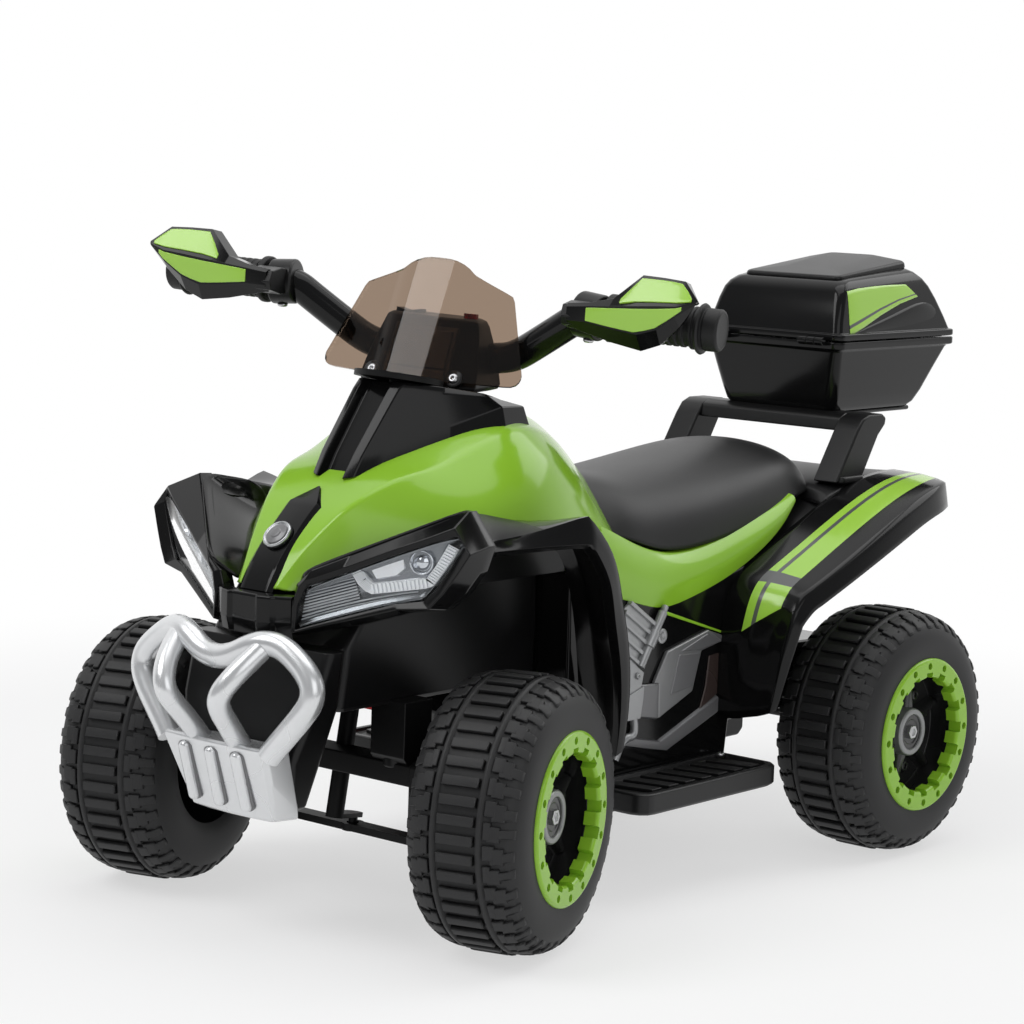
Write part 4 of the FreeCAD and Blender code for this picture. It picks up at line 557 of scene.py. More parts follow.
# hood: green shell, half rows from the ridge over the crease to the lower edge
hoodSet = {
    "wall": 2.6,
    "rows": (
        ((0, -76, 226), (9, -76, 226), (16, -75.5, 226.5), (19, -74, 226), (21.5, -72.5, 225.5),
         (24, -70, 225)),
        ((0, -65, 244.5), (11, -65.5, 243.8), (20.4, -66.5, 239), (23, -65.5, 235), (26, -64.5, 231),
         (29, -63, 226)),
        ((0, -55.5, 256), (13, -56, 255), (24.4, -58.1, 250.7), (27.4, -57.5, 244), (30.4, -57, 237),
         (33, -56, 230)),
        ((0, -40, 270), (16, -40.5, 269.8), (31.5, -42.3, 267.4), (36, -42.5, 258), (40, -42.5, 249),
         (43.5, -42, 239)),
        ((0, -27.5, 280), (18, -28, 280), (37, -30, 279.4), (43.5, -30, 269), (49, -30, 257), (54, -29, 243)),
        ((0, -5, 294), (24, -5, 294), (48.6, -5.4, 293), (59.5, -6, 277), (67, -7, 264), (73, -8, 249)),
        ((0, 10, 301), (26, 10, 300.5), (52.6, 9.4, 297.8), (66, 9, 285), (77, 8, 269.5), (85, 6, 252)),
        ((0, 36, 315), (30, 36, 312), (60, 36, 302), (80, 36, 289), (93, 35, 276), (101, 33, 256)),
        ((0, 70, 329), (36, 70, 327), (66, 70, 317.5), (86, 70, 301.5), (98, 70, 283), (105, 70, 257)),
        ((0, 105, 337), (36, 105, 335.5), (66, 105, 326.5), (85, 105, 309.5), (97, 106, 288),
         (104, 109, 256)),
        ((0, 145, 335), (30, 145, 330), (55, 145, 316.5), (72, 146, 301), (84, 147, 281), (91, 149, 253)),
        ((0, 172, 328.5), (24, 172, 320), (45, 172, 304.5), (61, 172, 288.5), (74, 174, 268), (82, 177, 250)),
        ((0, 198, 315.5), (19, 198, 304.5), (35, 198, 290), (50, 198, 274), (62, 198, 258), (72, 197, 246)),
        ((0, 222, 299), (14, 222, 287.5), (27, 221, 276.5), (40, 220, 262), (50, 218, 251), (60, 214, 243)),
    ),
}
hoodMesh = gridMesh(hoodSet["rows"])
creaseGrid(hoodMesh, 6, colsKept=(2,), amount=0.72)
addPiece("hoodShell", hoodMesh, "greenGloss", swaps=("hood",), mirror=True, levels=3, thick=hoodSet["wall"])

# nose strip: raised black band with a bare round badge
stripSet = {
    "rows": (
        ((0, -79, 224), (11, -79, 224), (15, -77, 223.4)),
        ((0, -67.5, 245.5), (11.5, -67.5, 245.3), (15.6, -65.5, 243)),
        ((0, -45.5, 268.5), (11.5, -45, 268.3), (15.8, -43, 266)),
        ((0, -35, 277.6), (11.8, -35, 277.2), (15.8, -34, 274.4)),
        ((0, -20.5, 286.4), (0.8, -20.8, 286.2), (1.6, -20.4, 284.2)),
    ),
    "badge": (0, -58, 257.4), "badgeAxis": (0, -0.735, 0.678),
    "ring": ((-1.5, 10.4), (1.0, 10.4), (1.9, 9.7), (1.9, 8.8), (1.1, 8.3), (1.1, 6.6), (1.8, 5.8),
             (2.0, 3.0), (2.1, 0.05)),
    "disc": ((0.4, 7.6), (1.6, 7.6), (1.9, 7.2), (2.1, 4.0), (2.9, 3.6), (3.1, 3.0), (3.2, 0.05)),
}
stripMesh = gridMesh(stripSet["rows"])
creaseGrid(stripMesh, 3, colsKept=(1, 2), rowsKept=(0, 3, 4), amount=1.0)
addPiece("noseStrip", stripMesh, "blackGloss", swaps=("nose_strip",), mirror=True, levels=2, thick=2.0,
         bevel=0.5)
badgeParts = (("noseBadge", "ring", 56, "badgeSilver"), ("badgeDisc", "disc", 48, "dressGrey"))
for name, kind, steps, look in badgeParts:
    badgeMesh = turnedMesh(stripSet[kind], steps, stripSet["badge"], stripSet["badgeAxis"])
    addPiece(name, badgeMesh, look, swaps=("nose_strip",))

# lamp frames: crisp loops from the lens pocket over the lip to the brow, one frame each side
bezelSet = {
    "lens": ((41.9, 228.5), (44.3, 231), (66.6, 241.2), (92.2, 253.3), (115.3, 263.2), (130.4, 268.9),
             (134.7, 263), (127, 249), (119.1, 235.8), (111.7, 227.2), (96, 224.3), (68, 214.6), (36.5, 203),
             (37.8, 217.9)),
    "lip": ((38.6, -77.4, 230.4), (43.2, -76.6, 234.6), (66, -65.6, 244.8), (91.6, -53.2, 257),
            (114.6, -41.8, 267.2), (128.8, -33.8, 274.3), (142.8, -33.7, 258.8), (135, -37.4, 245),
            (127.4, -41, 233), (119.5, -44.4, 223.2), (97, -50.4, 220.6), (68, -64, 211.2),
            (35.2, -79.8, 200.6), (34.6, -79, 218)),
    "outer": ((34, -74.8, 231.5), (47.1, -74.8, 242.2), (65.6, -58.9, 252.3), (88, -39.7, 264.5),
              (106, -24.2, 274.2), (121.2, -11.1, 282.5), (141, -14, 262), (138, -18, 246), (131, -24, 232),
              (121, -30, 221.5), (98, -41, 217.4), (70, -55, 207.8), (33, -73, 198.2), (30, -73.5, 216)),
    "valley": (
        ((40.5, -75.6, 237), (34, -70, 231), (27, -65, 225)),
        ((47.1, -74.8, 242.2), (41, -67, 235), (31, -58, 228)),
        ((65.6, -58.9, 252.3), (57, -51, 244.5), (42, -41, 238)),
        ((84.2, -43, 262.4), (74, -36, 252.5), (53, -28, 242)),
        ((102.7, -27, 272.4), (92, -19, 262), (72, -7, 248)),
        ((120.8, -11.4, 282.2), (108, -2, 270), (84, 7, 251)),
        ((112, 5, 279), (102, 14, 270), (92, 22, 253)),
        ((102, 22, 277), (98, 28, 268), (97, 33, 255)),
    ),
    "mid": (79.9, -56.95, 231.65), "slope": (0.4925, 0.0241), "lean": 0.3, "pocket": (2.2, 7),
    "back": (0.985, 9, 0.5),
}


# a point on the lamp's slanting plane, or at a depth behind it
def lampAt(x, z, depth=0.0):
    midX, midY, midZ = bezelSet["mid"]
    slopeX, slopeZ = bezelSet["slope"]
    y = midY + slopeX * (x - midX) - slopeZ * (z - midZ)
    return (x - depth * bezelSet["lean"], y + depth, z)


def bezelLoops(settings):
    inward, deep = settings["pocket"]
    trim, behind, drop = settings["back"]
    lens = [lampAt(x, z) for x, z in settings["lens"]]
    pocket = [(x - inward, y + deep, z) for x, y, z in lens]
    back = [(x * trim, y + behind, z - drop) for x, y, z in settings["outer"]]
    return (pocket, lens, settings["lip"], settings["outer"], back)


for side, tag in ((1, "Left"), (-1, "Right")):
    bezelMesh = gridMesh(bezelLoops(bezelSet), side=side, loop=True)
    addPiece("lampFrame" + tag, bezelMesh, "blackGloss", swaps=("front_fascia",), bevel=0.9, angle=16.0,
             segments=3)
    valleyMesh = gridMesh(bezelSet["valley"], side=side)
    addPiece("browSlope" + tag, valleyMesh, "blackGloss", swaps=("front_fascia",), levels=2, thick=2.0)

# chin block under the nose strip, with upright facets
chinSet = {
    "plan": ((0, -87), (10.5, -87), (13, -89), (22, -86), (24, -83), (33, -78)),
    "levels": ((223.5, 9), (223, 0.8), (221.5, 0), (206, 0), (197, 2), (195.5, 3.5), (195, 14)),
}
chinRows = [[(x, y + push, z) for x, y in chinSet["plan"]] for z, push in chinSet["levels"]]
chinMesh = gridMesh(chinRows)
addPiece("chinBlock", chinMesh, "blackGloss", swaps=("front_fascia",), mirror=True, bevel=0.7, angle=8.0)
print("hood, strip and lamp frames made")

# lamps: clear cover, bowl darkened as painted shade between paler ribs that carry a painted highlight, round
# projector and toothed light strip
lampSet = {
    "top": ((41, 228.6), (66.6, 241), (92.2, 253), (115.3, 263), (125, 266.6), (131.2, 268)),
    "low": ((36.8, 203.4), (60, 212), (84, 220.4), (103, 225.6), (112.2, 227.8), (134.2, 262.8)),
    "strip": ((71.4, 242.2), (74.6, 236.4), (79.4, 231.8), (97, 235), (114.4, 238.4), (121, 249),
              (127.6, 262)),
    "stripHalf": 2.9, "stripFlank": 0.3, "teeth": 44, "tooth": (0.58, 2.2, 4.2), "bed": (30, 0.5, 3.4, 6.0),
    "vaneDepth": (6.5, 4.2),
    "rib": {"count": 15, "first": 1.6, "pitch": 1.95, "knee": 8.5, "start": (37.4, 0.17), "steps": 8,
            "longEnd": (110, 0.4), "shortEnd": (69, 0.25, 24), "foot": (36.8, 203.4), "slope": 0.352,
            "sag": (0.0016, 60), "half": 0.62, "depths": (5.6, 4.0)},
    "bowl": (3.0, 5.0, 0.6), "cover": (1.6, 2.0), "room": (5.4, 3.0), "eye": (108.5, 250.6, 7.0),
    "eyeRadius": 8.2, "eyeAxis": (0.42, -0.90, 0.05), "eyeSteps": 40,
    "eyeShape": ((-4, 1.0), (3.0, 1.0), (4.6, 0.93), (4.2, 0.80), (1.0, 0.74), (2.6, 0.6), (4.2, 0.35)),
    "eyeTip": (4.8, 0.05), "vane": ((79, 244.6), (98, 252.4), (98.6, 246), (94, 241.4), (82.4, 238.4)),
    "roof": ((72, 243.4), (80, 247.2), (88, 251), (98, 255.6), (112, 261.6), (121, 265.2), (129.6, 267.6)),
}


# which step of a path a share of it falls on, and how far along that step
def stepAt(share, path):
    reach = min(max(share, 0.0), 0.9999) * (len(path) - 1)
    return int(reach), reach - int(reach)


def lampSpot(s, t, depth):
    step, part = stepAt(s, lampSet["top"])
    ends = []
    for key in ("top", "low"):
        first, last = lampSet[key][step], lampSet[key][step + 1]
        ends.append([first[k] * (1 - part) + last[k] * part for k in (0, 1)])
    return lampAt(ends[0][0] * (1 - t) + ends[1][0] * t, ends[0][1] * (1 - t) + ends[1][1] * t, depth)


def stripPlace(share):
    path = lampSet["strip"]
    step, part = stepAt(share, path)
    spot = Vector(path[step]).lerp(Vector(path[step + 1]), part)
    run = (Vector(path[step + 1]) - Vector(path[step])).normalized()
    return spot, Vector((-run.y, run.x))


def stripRow(share, half, high, low):
    spot, out = stripPlace(share)
    foot = half + lampSet["stripFlank"]
    row = []
    for reach, depth in ((-foot, low), (-half, high), (half, high), (foot, low)):
        place = spot + out * reach
        row.append(lampAt(place.x, place.y, depth))
    return row


# low ribs cross the whole bowl and sag a little, those above the knee end short
def ribRows(k):
    rib = lampSet["rib"]
    rise = rib["first"] + k * rib["pitch"]
    sag, sagMid = rib["sag"]
    if rise < rib["knee"]:
        end = rib["longEnd"][0] - rib["longEnd"][1] * rise
    else:
        sag = 0.0
        end = rib["shortEnd"][0] + rib["shortEnd"][1] * (rib["shortEnd"][2] - rise)
    start = rib["start"][0] + rib["start"][1] * rise
    deep, crest = rib["depths"]
    rows = []
    for q in range(rib["steps"] + 1):
        x = start + (end - start) * q / rib["steps"]
        z = rib["foot"][1] + rib["slope"] * (x - rib["foot"][0]) + rise - sag * (x - sagMid) ** 2
        rows.append((lampAt(x, z - rib["half"], deep), lampAt(x, z, crest), lampAt(x, z + rib["half"], deep)))
    return rows


# rows across the lens whose depth follows half a wave from edge to edge
def lampRows(count, depth, swell, power=1.0):
    rows = []
    for t in range(count + 1):
        deep = depth + swell * math.sin(math.pi * t / count) ** power
        rows.append([lampSpot(s / 10, t / count, deep) for s in range(11)])
    return rows


# the small room between the light strip and the roof line
def roomRows(depth, swell):
    rows = []
    for a, b in zip(lampSet["strip"], lampSet["roof"]):
        row = []
        for q in range(4):
            part = q / 3
            x, z = (a[k] * (1 - part) + b[k] * part for k in (0, 1))
            row.append(lampAt(x, z, depth + swell * math.sin(math.pi * part)))
        rows.append(row)
    return rows


for side, tag in ((1, "Left"), (-1, "Right")):
    node = ("headlight_reflectors",)
    # the bowl is darkened as painted shade so the gaps between the ribs read dark
    bowlMesh = gridMesh(lampRows(6, *lampSet["bowl"]), side=side)
    addPiece("lampBowl" + tag, bowlMesh, "lampShade", swaps=node, levels=2, thick=1.0)
    roomMesh = gridMesh(roomRows(*lampSet["room"]), side=side)
    addPiece("lampRoom" + tag, roomMesh, "lampChrome", swaps=node, levels=1, thick=0.8)
    depth, swell = lampSet["cover"]
    coverMesh = gridMesh(lampRows(4, depth, -swell), side=side)
    addPiece("lampCover" + tag, coverMesh, "clearLens", swaps=("headlight_lenses",), levels=1)
    # the ribs get the pale copy of the chrome as a painted highlight against the darkened bowl
    ribs = [gridMesh(ribRows(k), side=side) for k in range(lampSet["rib"]["count"])]
    addPiece("lampRibs" + tag, joinMesh(ribs), "lampRib", swaps=node)
    parts = []
    share, high, low = lampSet["tooth"]
    for k in range(lampSet["teeth"]):
        ends = ((k + edge) / lampSet["teeth"] for edge in (0.0, share))
        pair = [stripRow(end, lampSet["stripHalf"], high, low) for end in ends]
        parts.append(gridMesh(pair, side=side, loop=True, caps=True))
    steps, wider, high, low = lampSet["bed"]
    bed = [stripRow(k / steps, lampSet["stripHalf"] + wider, high, low) for k in range(steps + 1)]
    parts.append(gridMesh(bed, side=side))
    vane = [[lampAt(x, z, depth) for x, z in lampSet["vane"]] for depth in lampSet["vaneDepth"]]
    parts.append(gridMesh(vane, side=side, loop=True, caps=True))
    addPiece("lampStrip" + tag, joinMesh(parts), "lampFrost", swaps=node, bevel=0.2)
    x, y, z = lampAt(*lampSet["eye"])
    turnX, turnY, turnZ = lampSet["eyeAxis"]
    shape = [(along, lampSet["eyeRadius"] * part) for along, part in lampSet["eyeShape"]]
    shape.append(lampSet["eyeTip"])
    eye = turnedMesh(shape, lampSet["eyeSteps"], (side * x, y, z), (side * turnX, turnY, turnZ))
    addPiece("lampEye" + tag, eye, "lampChrome", swaps=node)
print("lamps made")

# front fenders: satin top, glossy skirt, leg shield behind the wheel
fenderSet = {
    "wall": 2.6,
    "rows": (
        ((98, -12, 268), (118.5, -11, 280.5), (130, -6, 264), (135, -8.5, 257), (129, -6, 253)),
        ((99, 20, 267), (101, 21, 277.5), (130, 10, 262.5), (138, 12, 257.5), (131, 13, 253)),
        ((99, 45, 262), (103, 45, 271), (139, 42, 268), (144, 42, 258), (137, 42, 254)),
        ((99, 72, 258), (106, 72, 267), (148.5, 76, 276.5), (151, 77, 257), (144, 76, 254)),
        ((98, 100, 252), (110, 100, 261), (150, 104, 250), (151, 99, 232), (144, 97, 231)),
        ((96, 120, 236), (112, 120, 240), (148, 114, 220), (148, 106, 206), (141, 104, 206)),
        ((92, 138, 190), (110, 138, 190), (143, 134, 176), (141, 126, 168), (134, 125, 168)),
        ((90, 147, 140), (108, 147, 140), (133, 146, 132), (131, 139, 126), (125, 139, 126)),
        ((89, 150, 112), (106, 150, 110), (126, 150, 108), (124, 144, 104), (119, 144, 104)),
    ),
}
for side, tag in sides:
    fenderMesh = gridMesh(fenderSet["rows"], side=side)
    creaseGrid(fenderMesh, 5, rowsKept=(0, 3), colsKept=(1, 2, 3), amount=0.75)
    paintGrid(fenderMesh, lambda r, c: 1 if r < 2 and c == 1 else 0, 4)
    addPiece("frontFender_" + tag, fenderMesh, ("blackGloss", "blackSatin"), swaps=("front_fender_" + tag,),
             levels=2, thick=fenderSet["wall"], bevel=0.5)

# steering cowl on the hood: ridged front, sloped flanks
cowlSet = {
    "rows": (
        ((0, -5, 290), (9, -5, 290), (11.5, -12, 292), (18, -8, 293), (24, 11, 297), (44, 57, 312),
         (60, 94, 322), (57, 124, 319), (30, 130, 328), (0, 132, 332)),
        ((0, 4, 305), (9.5, 4, 305), (12, -3, 306.5), (18.5, 0, 307), (25, 17, 311), (43, 58, 325),
         (57, 93, 337), (54, 119, 336), (28, 124, 338), (0, 126, 338)),
        ((0, 33, 345), (10.5, 33, 345), (13, 27, 347), (20, 30, 346.5), (25, 37, 346), (36, 58, 346),
         (47, 91, 343), (44, 107, 340), (24, 112, 340), (0, 114, 340)),
        ((0, 38, 352), (10.5, 38, 352), (13, 33, 353.5), (20, 36, 353), (24, 42, 352.5), (34, 60, 350),
         (44, 90, 345), (41, 103, 342), (22, 107, 341.5), (0, 108, 341.5)),
        ((0, 60, 349.5), (6, 60, 349.5), (8, 60, 349.5), (11, 61, 349.3), (14, 64, 349), (18, 68, 348.3),
         (22, 78, 346.8), (20, 86, 345.4), (12, 89, 344.8), (0, 90, 344.5)),
    ),
}
cowlMesh = gridMesh(cowlSet["rows"])
addPiece("steeringCowl", cowlMesh, "blackGloss", swaps=("steering_cowl",), mirror=True, bevel=0.9,
         angle=14.0, segments=3)
print("fenders and cowl made")

# seat: one crowned moulding, half rows from the middle to the lower edge
seatSet = {
    "rows": (
        ((0, 206, 280), (22, 206, 277), (40, 205, 266), (54, 202, 253), (62, 199, 244)),
        ((0, 230, 281), (28, 230, 279), (52, 226, 270), (68, 220, 256), (75, 216, 240)),
        ((0, 254, 279), (30, 254, 277), (57, 252, 268), (73, 249, 252), (79, 246, 229)),
        ((0, 288, 281.5), (32, 288, 279.5), (60, 288, 270), (76, 287, 254), (81, 286, 229)),
        ((0, 330, 286), (32, 330, 284), (60, 330, 275), (76, 331, 259), (80, 332, 235)),
        ((0, 370, 291), (31, 370, 289), (57, 371, 281), (73, 373, 267), (78, 376, 245)),
        ((0, 405, 294.5), (29, 405, 292.5), (53, 407, 286), (68, 410, 275), (74, 414, 255)),
        ((0, 432, 293.5), (26, 432, 291.5), (47, 434, 285.5), (60, 438, 275.5), (66, 442, 258)),
        ((0, 448, 285), (24, 448, 283.5), (42, 449, 278), (54, 451, 269.5), (58, 452, 257)),
        ((0, 456, 266), (22, 456, 265), (38, 456, 263), (50, 455, 260), (53, 455, 255)),
    ),
}
seatMesh = gridMesh(seatSet["rows"])
creaseGrid(seatMesh, 5, colsKept=(4,), amount=0.5)
addPiece("seatPad", seatMesh, "seatSkin", swaps=("seat",), mirror=True, levels=3, thick=3.0)

# green side panels with a rolled upper lip
panelSet = {
    "wall": 2.4,
    "rows": (
        ((75, 150, 262), (82, 150, 262), (87.5, 150, 249), (89, 150, 224), (88.4, 150, 212)),
        ((75, 178, 253), (82, 178, 252), (88, 178, 240), (89.5, 178, 217), (88.4, 178, 205)),
        ((74, 206, 241), (80.5, 206, 240), (88, 206, 229), (90, 207, 209), (88.4, 207, 197.5)),
        ((73, 236, 230.5), (79.5, 236, 229.5), (87.5, 237, 221), (90, 237, 202), (88.4, 237, 189)),
        ((74, 266, 226.5), (80, 266, 225.5), (87.5, 268, 219), (90, 270, 206), (88.4, 272, 195.6)),
        ((74, 306, 232), (79.5, 306, 231), (87, 308, 225), (89.5, 309, 213.5), (88.4, 309, 204)),
        ((73, 350, 242.5), (78.5, 350, 241.5), (85.5, 350, 236), (88, 350, 227), (87.6, 350, 219)),
        ((72, 385, 251.5), (77, 385, 250.5), (82, 385, 247), (84.5, 385, 242), (84.5, 385, 236)),
        ((72, 407, 258.5), (75, 407, 258), (77.5, 407, 257), (79, 407, 255), (79, 407, 252.5)),
    ),
    "line": ((236, 190), (310, 166.6), (310, 165), (236, 187.4)), "lineReach": (87.6, 89.2),
}
for side, tag in sides:
    panelMesh = gridMesh(panelSet["rows"], side=side)
    creaseGrid(panelMesh, 5, rowsKept=(0, 8), colsKept=(0, 1, 4), amount=0.6)
    addPiece("sidePanel_" + tag, panelMesh, "greenGloss", swaps=("side_panel_" + tag,), levels=2,
             thick=panelSet["wall"], bevel=0.6)
    trim = slabMesh(panelSet["line"], "x", *panelSet["lineReach"], side)
    addPiece("panelTrim_" + tag, trim, "greenGloss", swaps=("side_panel_" + tag,), bevel=0.4)
print("seat and side panels made")

# tub: stepped side outline, low block for the drive behind, open under the rear deck
tubSet = {
    "half": 88.0,
    "outline": ((134, 226), (134, 112), (158, 82), (170, 58), (178, 52), (310, 52), (317, 60), (322, 100),
                (462, 100), (472, 108), (472, 138), (462, 147), (406, 149), (399, 156), (392, 228),
                (350, 216), (309, 207), (270, 201), (236, 205), (206, 214), (178, 222)),
    "drive": ((372, 60), (378, 55), (464, 55), (470, 60), (470, 140), (464, 147), (372, 147)),
    "driveReach": (-84, -4),
}
tubMesh = joinMesh([slabMesh(tubSet["outline"], "x", -tubSet["half"], tubSet["half"]),
                    slabMesh(tubSet["drive"], "x", *tubSet["driveReach"])])
addPiece("tubShell", tubMesh, "blackGloss", swaps=("chassis_tub",), bevel=2.4, angle=24.0, segments=3)

# engine dress on the tub side: ridged cylinder, strut, block, pipe and a case with two panels inside a band
engineSet = {
    "face": 88.1, "core": ((197, 199), (228, 180), (218, 161), (206, 153), (190, 164), (189, 194)),
    "ridges": (
        ((196, 199.5), (229, 178.5)),
        ((190.5, 194), (225, 172)),
        ((190, 185.5), (221, 165.5)),
        ((190, 176.5), (216, 159.5)),
        ((190, 167.5), (208, 155.5)),
    ),
    "strut": ((233, 189), (221, 172), (209, 153)), "ear": (233.5, 172),
    "block": ((191, 164), (214, 148.5), (213, 145), (211.5, 137.5), (192, 132.5)), "bolt": (206, 147),
    "elbow": ((192, 133), (213, 139), (212.5, 130), (210, 116.5), (193, 116.5)),
    "barrel": ((211, 140), (233, 138.5), (233, 112.5), (205, 117.5)),
    "case": ((227, 139), (241, 160), (289, 170.5), (306, 160.5), (281, 156), (272, 128), (233, 113),
             (232, 138)),
    "upper": ((255, 158.6), (287, 168.4), (302.5, 160.4), (281, 157)),
    "lower": ((253.4, 156.6), (279.6, 155.4), (271, 131.6), (245, 128.6)),
    "outer": ((289, 170.5), (315, 162.5), (314.4, 150), (313, 111), (246, 88), (222, 92.6), (194, 98.6)),
    "inner": ((304, 160.6), (308, 155.4), (307, 151), (305, 121.5), (236.5, 97), (222, 100), (207, 103.2)),
    "shade": ((293, 151), (306, 152), (305, 122), (284, 113), (290, 129)),
    "hook": ((205, 118), (207.5, 110), (205, 103.6), (197, 104.6), (190, 98), (186, 90)),
    "heights": {"core": (-0.5, 2.0), "case": (-0.4, 3.2), "upper": (2.0, 4.0), "lower": (2.0, 4.0),
                "shade": (-0.4, 1.2), "block": (-0.4, 3.6), "elbow": (-0.4, 5.0), "barrel": (-0.4, 3.4)},
    "ridgeHalf": 1.5, "ridgeHeight": 4.4, "bandEdge": -0.4, "bandHeight": 2.6, "bandShares": (0.92, 0.12),
    "boltHead": (4.0, 2.4), "hookTube": (2.2, 3.0), "strutTube": (3.4, 3.4), "strutLean": (0, 0.56, 0.83),
    "cap": ((-2, 2.4), (4.5, 2.4), (5.2, 1.8), (5.3, 0.05)),
    "collar": ((-7, 4.3), (-6.4, 4.6), (5.0, 4.6), (5.6, 4.0)), "earHeight": 1.6,
    "earShape": ((-2, 5.4), (1.8, 5.4), (2.4, 4.8), (2.4, 2.4), (1.2, 2.2), (1.2, 0.05)),
}


def dressAt(height, side, places):
    return [(side * (engineSet["face"] + height), y, z) for y, z in places]


def dressSlab(kind, side):
    low, high = (engineSet["face"] + height for height in engineSet["heights"][kind])
    return slabMesh(engineSet[kind], "x", low, high, side)


def ridgeBar(first, last, side):
    run = Vector((last[0] - first[0], last[1] - first[1])).normalized() * engineSet["ridgeHalf"]
    out = (-run.y, run.x)
    corners = ((first[0] + out[0], first[1] + out[1]), (last[0] + out[0], last[1] + out[1]),
               (last[0] - out[0], last[1] - out[1]), (first[0] - out[0], first[1] - out[1]))
    face = engineSet["face"]
    return slabMesh(corners, "x", face, face + engineSet["ridgeHeight"], side)


def bandMesh(outer, inner, side):
    edge = engineSet["face"] + engineSet["bandEdge"]
    top = engineSet["face"] + engineSet["bandHeight"]
    rows = [[(edge, y, z) for y, z in outer]]
    for share in engineSet["bandShares"]:
        rest = 1 - share
        pairs = zip(outer, inner)
        rows.append([(top, y * share + b * rest, z * share + d * rest) for (y, z), (b, d) in pairs])
    rows.append([(edge, y, z) for y, z in inner])
    return gridMesh(rows, side=side)


for side, tag in sides:
    node = ("engine_cover_" + tag,)
    fins = [ridgeBar(first, last, side) for first, last in engineSet["ridges"]] + [dressSlab("core", side)]
    addPiece("engineFins_" + tag, joinMesh(fins), "engineSilver", swaps=node, bevel=0.6)
    band = bandMesh(engineSet["outer"], engineSet["inner"], side)
    addPiece("engineBand_" + tag, band, "dressGrey", swaps=node, bevel=0.6, angle=15.0)
    addPiece("engineCase_" + tag, dressSlab("case", side), "caseGrey", swaps=node, bevel=1.2, segments=3)
    panels = [dressSlab(kind, side) for kind in ("upper", "lower")]
    addPiece("enginePanel_" + tag, joinMesh(panels), "dressGrey", swaps=node, bevel=1.0)
    # flat dark brown patch between the case and the band: painted shade in the recess
    addPiece("engineShade_" + tag, dressSlab("shade", side), "dressBrown", swaps=node, bevel=0.8)
    outward = (side, 0, 0)
    height, radius = engineSet["boltHead"]
    pipe = [dressSlab(kind, side) for kind in ("block", "elbow")]
    pipe.append(screwMesh(dressAt(height, side, (engineSet["bolt"],))[0], outward, radius))
    height, radius = engineSet["hookTube"]
    pipe.append(tubeMesh(dressAt(height, side, engineSet["hook"]), radius))
    addPiece("enginePipe_" + tag, joinMesh(pipe), "engineSilver", swaps=node, bevel=1.6, segments=3)
    addPiece("engineBarrel_" + tag, dressSlab("barrel", side), "dressGrey", swaps=node, bevel=2.0, segments=3)
    height, radius = engineSet["strutTube"]
    points = dressAt(height, side, engineSet["strut"])
    strut = [tubeMesh(points, radius)]
    for kind, place in (("cap", points[0]), ("collar", points[1])):
        strut.append(turnedMesh(engineSet[kind], 20, place, engineSet["strutLean"]))
    ear = dressAt(engineSet["earHeight"], side, (engineSet["ear"],))[0]
    strut.append(turnedMesh(engineSet["earShape"], 24, ear, outward))
    addPiece("engineStrut_" + tag, joinMesh(strut), "engineSilver", swaps=node)
print("engine dress made")

# foot boards: rounded plate, raised rim, a field of slanting ribs, one screw
boardSet = {
    "outline": ((88.2, 152), (132, 152), (138, 154.5), (142, 159), (143, 165), (143, 298), (141, 306),
                (135, 311), (88.2, 311)),
    "rings": ((1.5, 63.75), (0.0, 65.75), (0.0, 77.75), (1.2, 78.75), (5.0, 78.75), (6.0, 76.0)),
    "field": (166, 299), "ribs": 7, "ribHalf": 5.6, "slant": 4.0, "reach": (99, 133),
    "ribLevels": (75.4, 78.45), "screw": (95, 303, 78.2),
}


def insetLoop(outline, amount):
    mid = Vector((sum(p[0] for p in outline) / len(outline), sum(p[1] for p in outline) / len(outline)))
    loop = []
    for x, y in outline:
        pull = Vector((mid.x - x, mid.y - y))
        loop.append((x + math.copysign(amount, pull.x), y + math.copysign(amount, pull.y)))
    return loop


for side, tag in sides:
    outline = boardSet["outline"]
    rows = [[(x, y, z) for x, y in insetLoop(outline, inset)] for inset, z in boardSet["rings"]]
    parts = [gridMesh(rows, side=side, loop=True, caps=True)]
    low, high = boardSet["reach"]
    first, last = boardSet["field"]
    pitch = (last - first) / boardSet["ribs"]
    wide, slant = boardSet["ribHalf"], boardSet["slant"]
    for k in range(boardSet["ribs"]):
        y = first + pitch * (k + 0.5)
        rib = ((low, y - wide - slant), (low, y + wide - slant),
               (high, y + wide + slant), (high, y - wide + slant))
        parts.append(slabMesh(rib, "z", *boardSet["ribLevels"], side))
    addPiece("footBoard_" + tag, joinMesh(parts), "boardSatin", swaps=("footboard_" + tag,), bevel=0.6)
    x, y, z = boardSet["screw"]
    addPiece("boardScrew_" + tag, screwMesh((side * x, y, z), (0, 0, 1)), "axleSteel")
print("foot boards made")

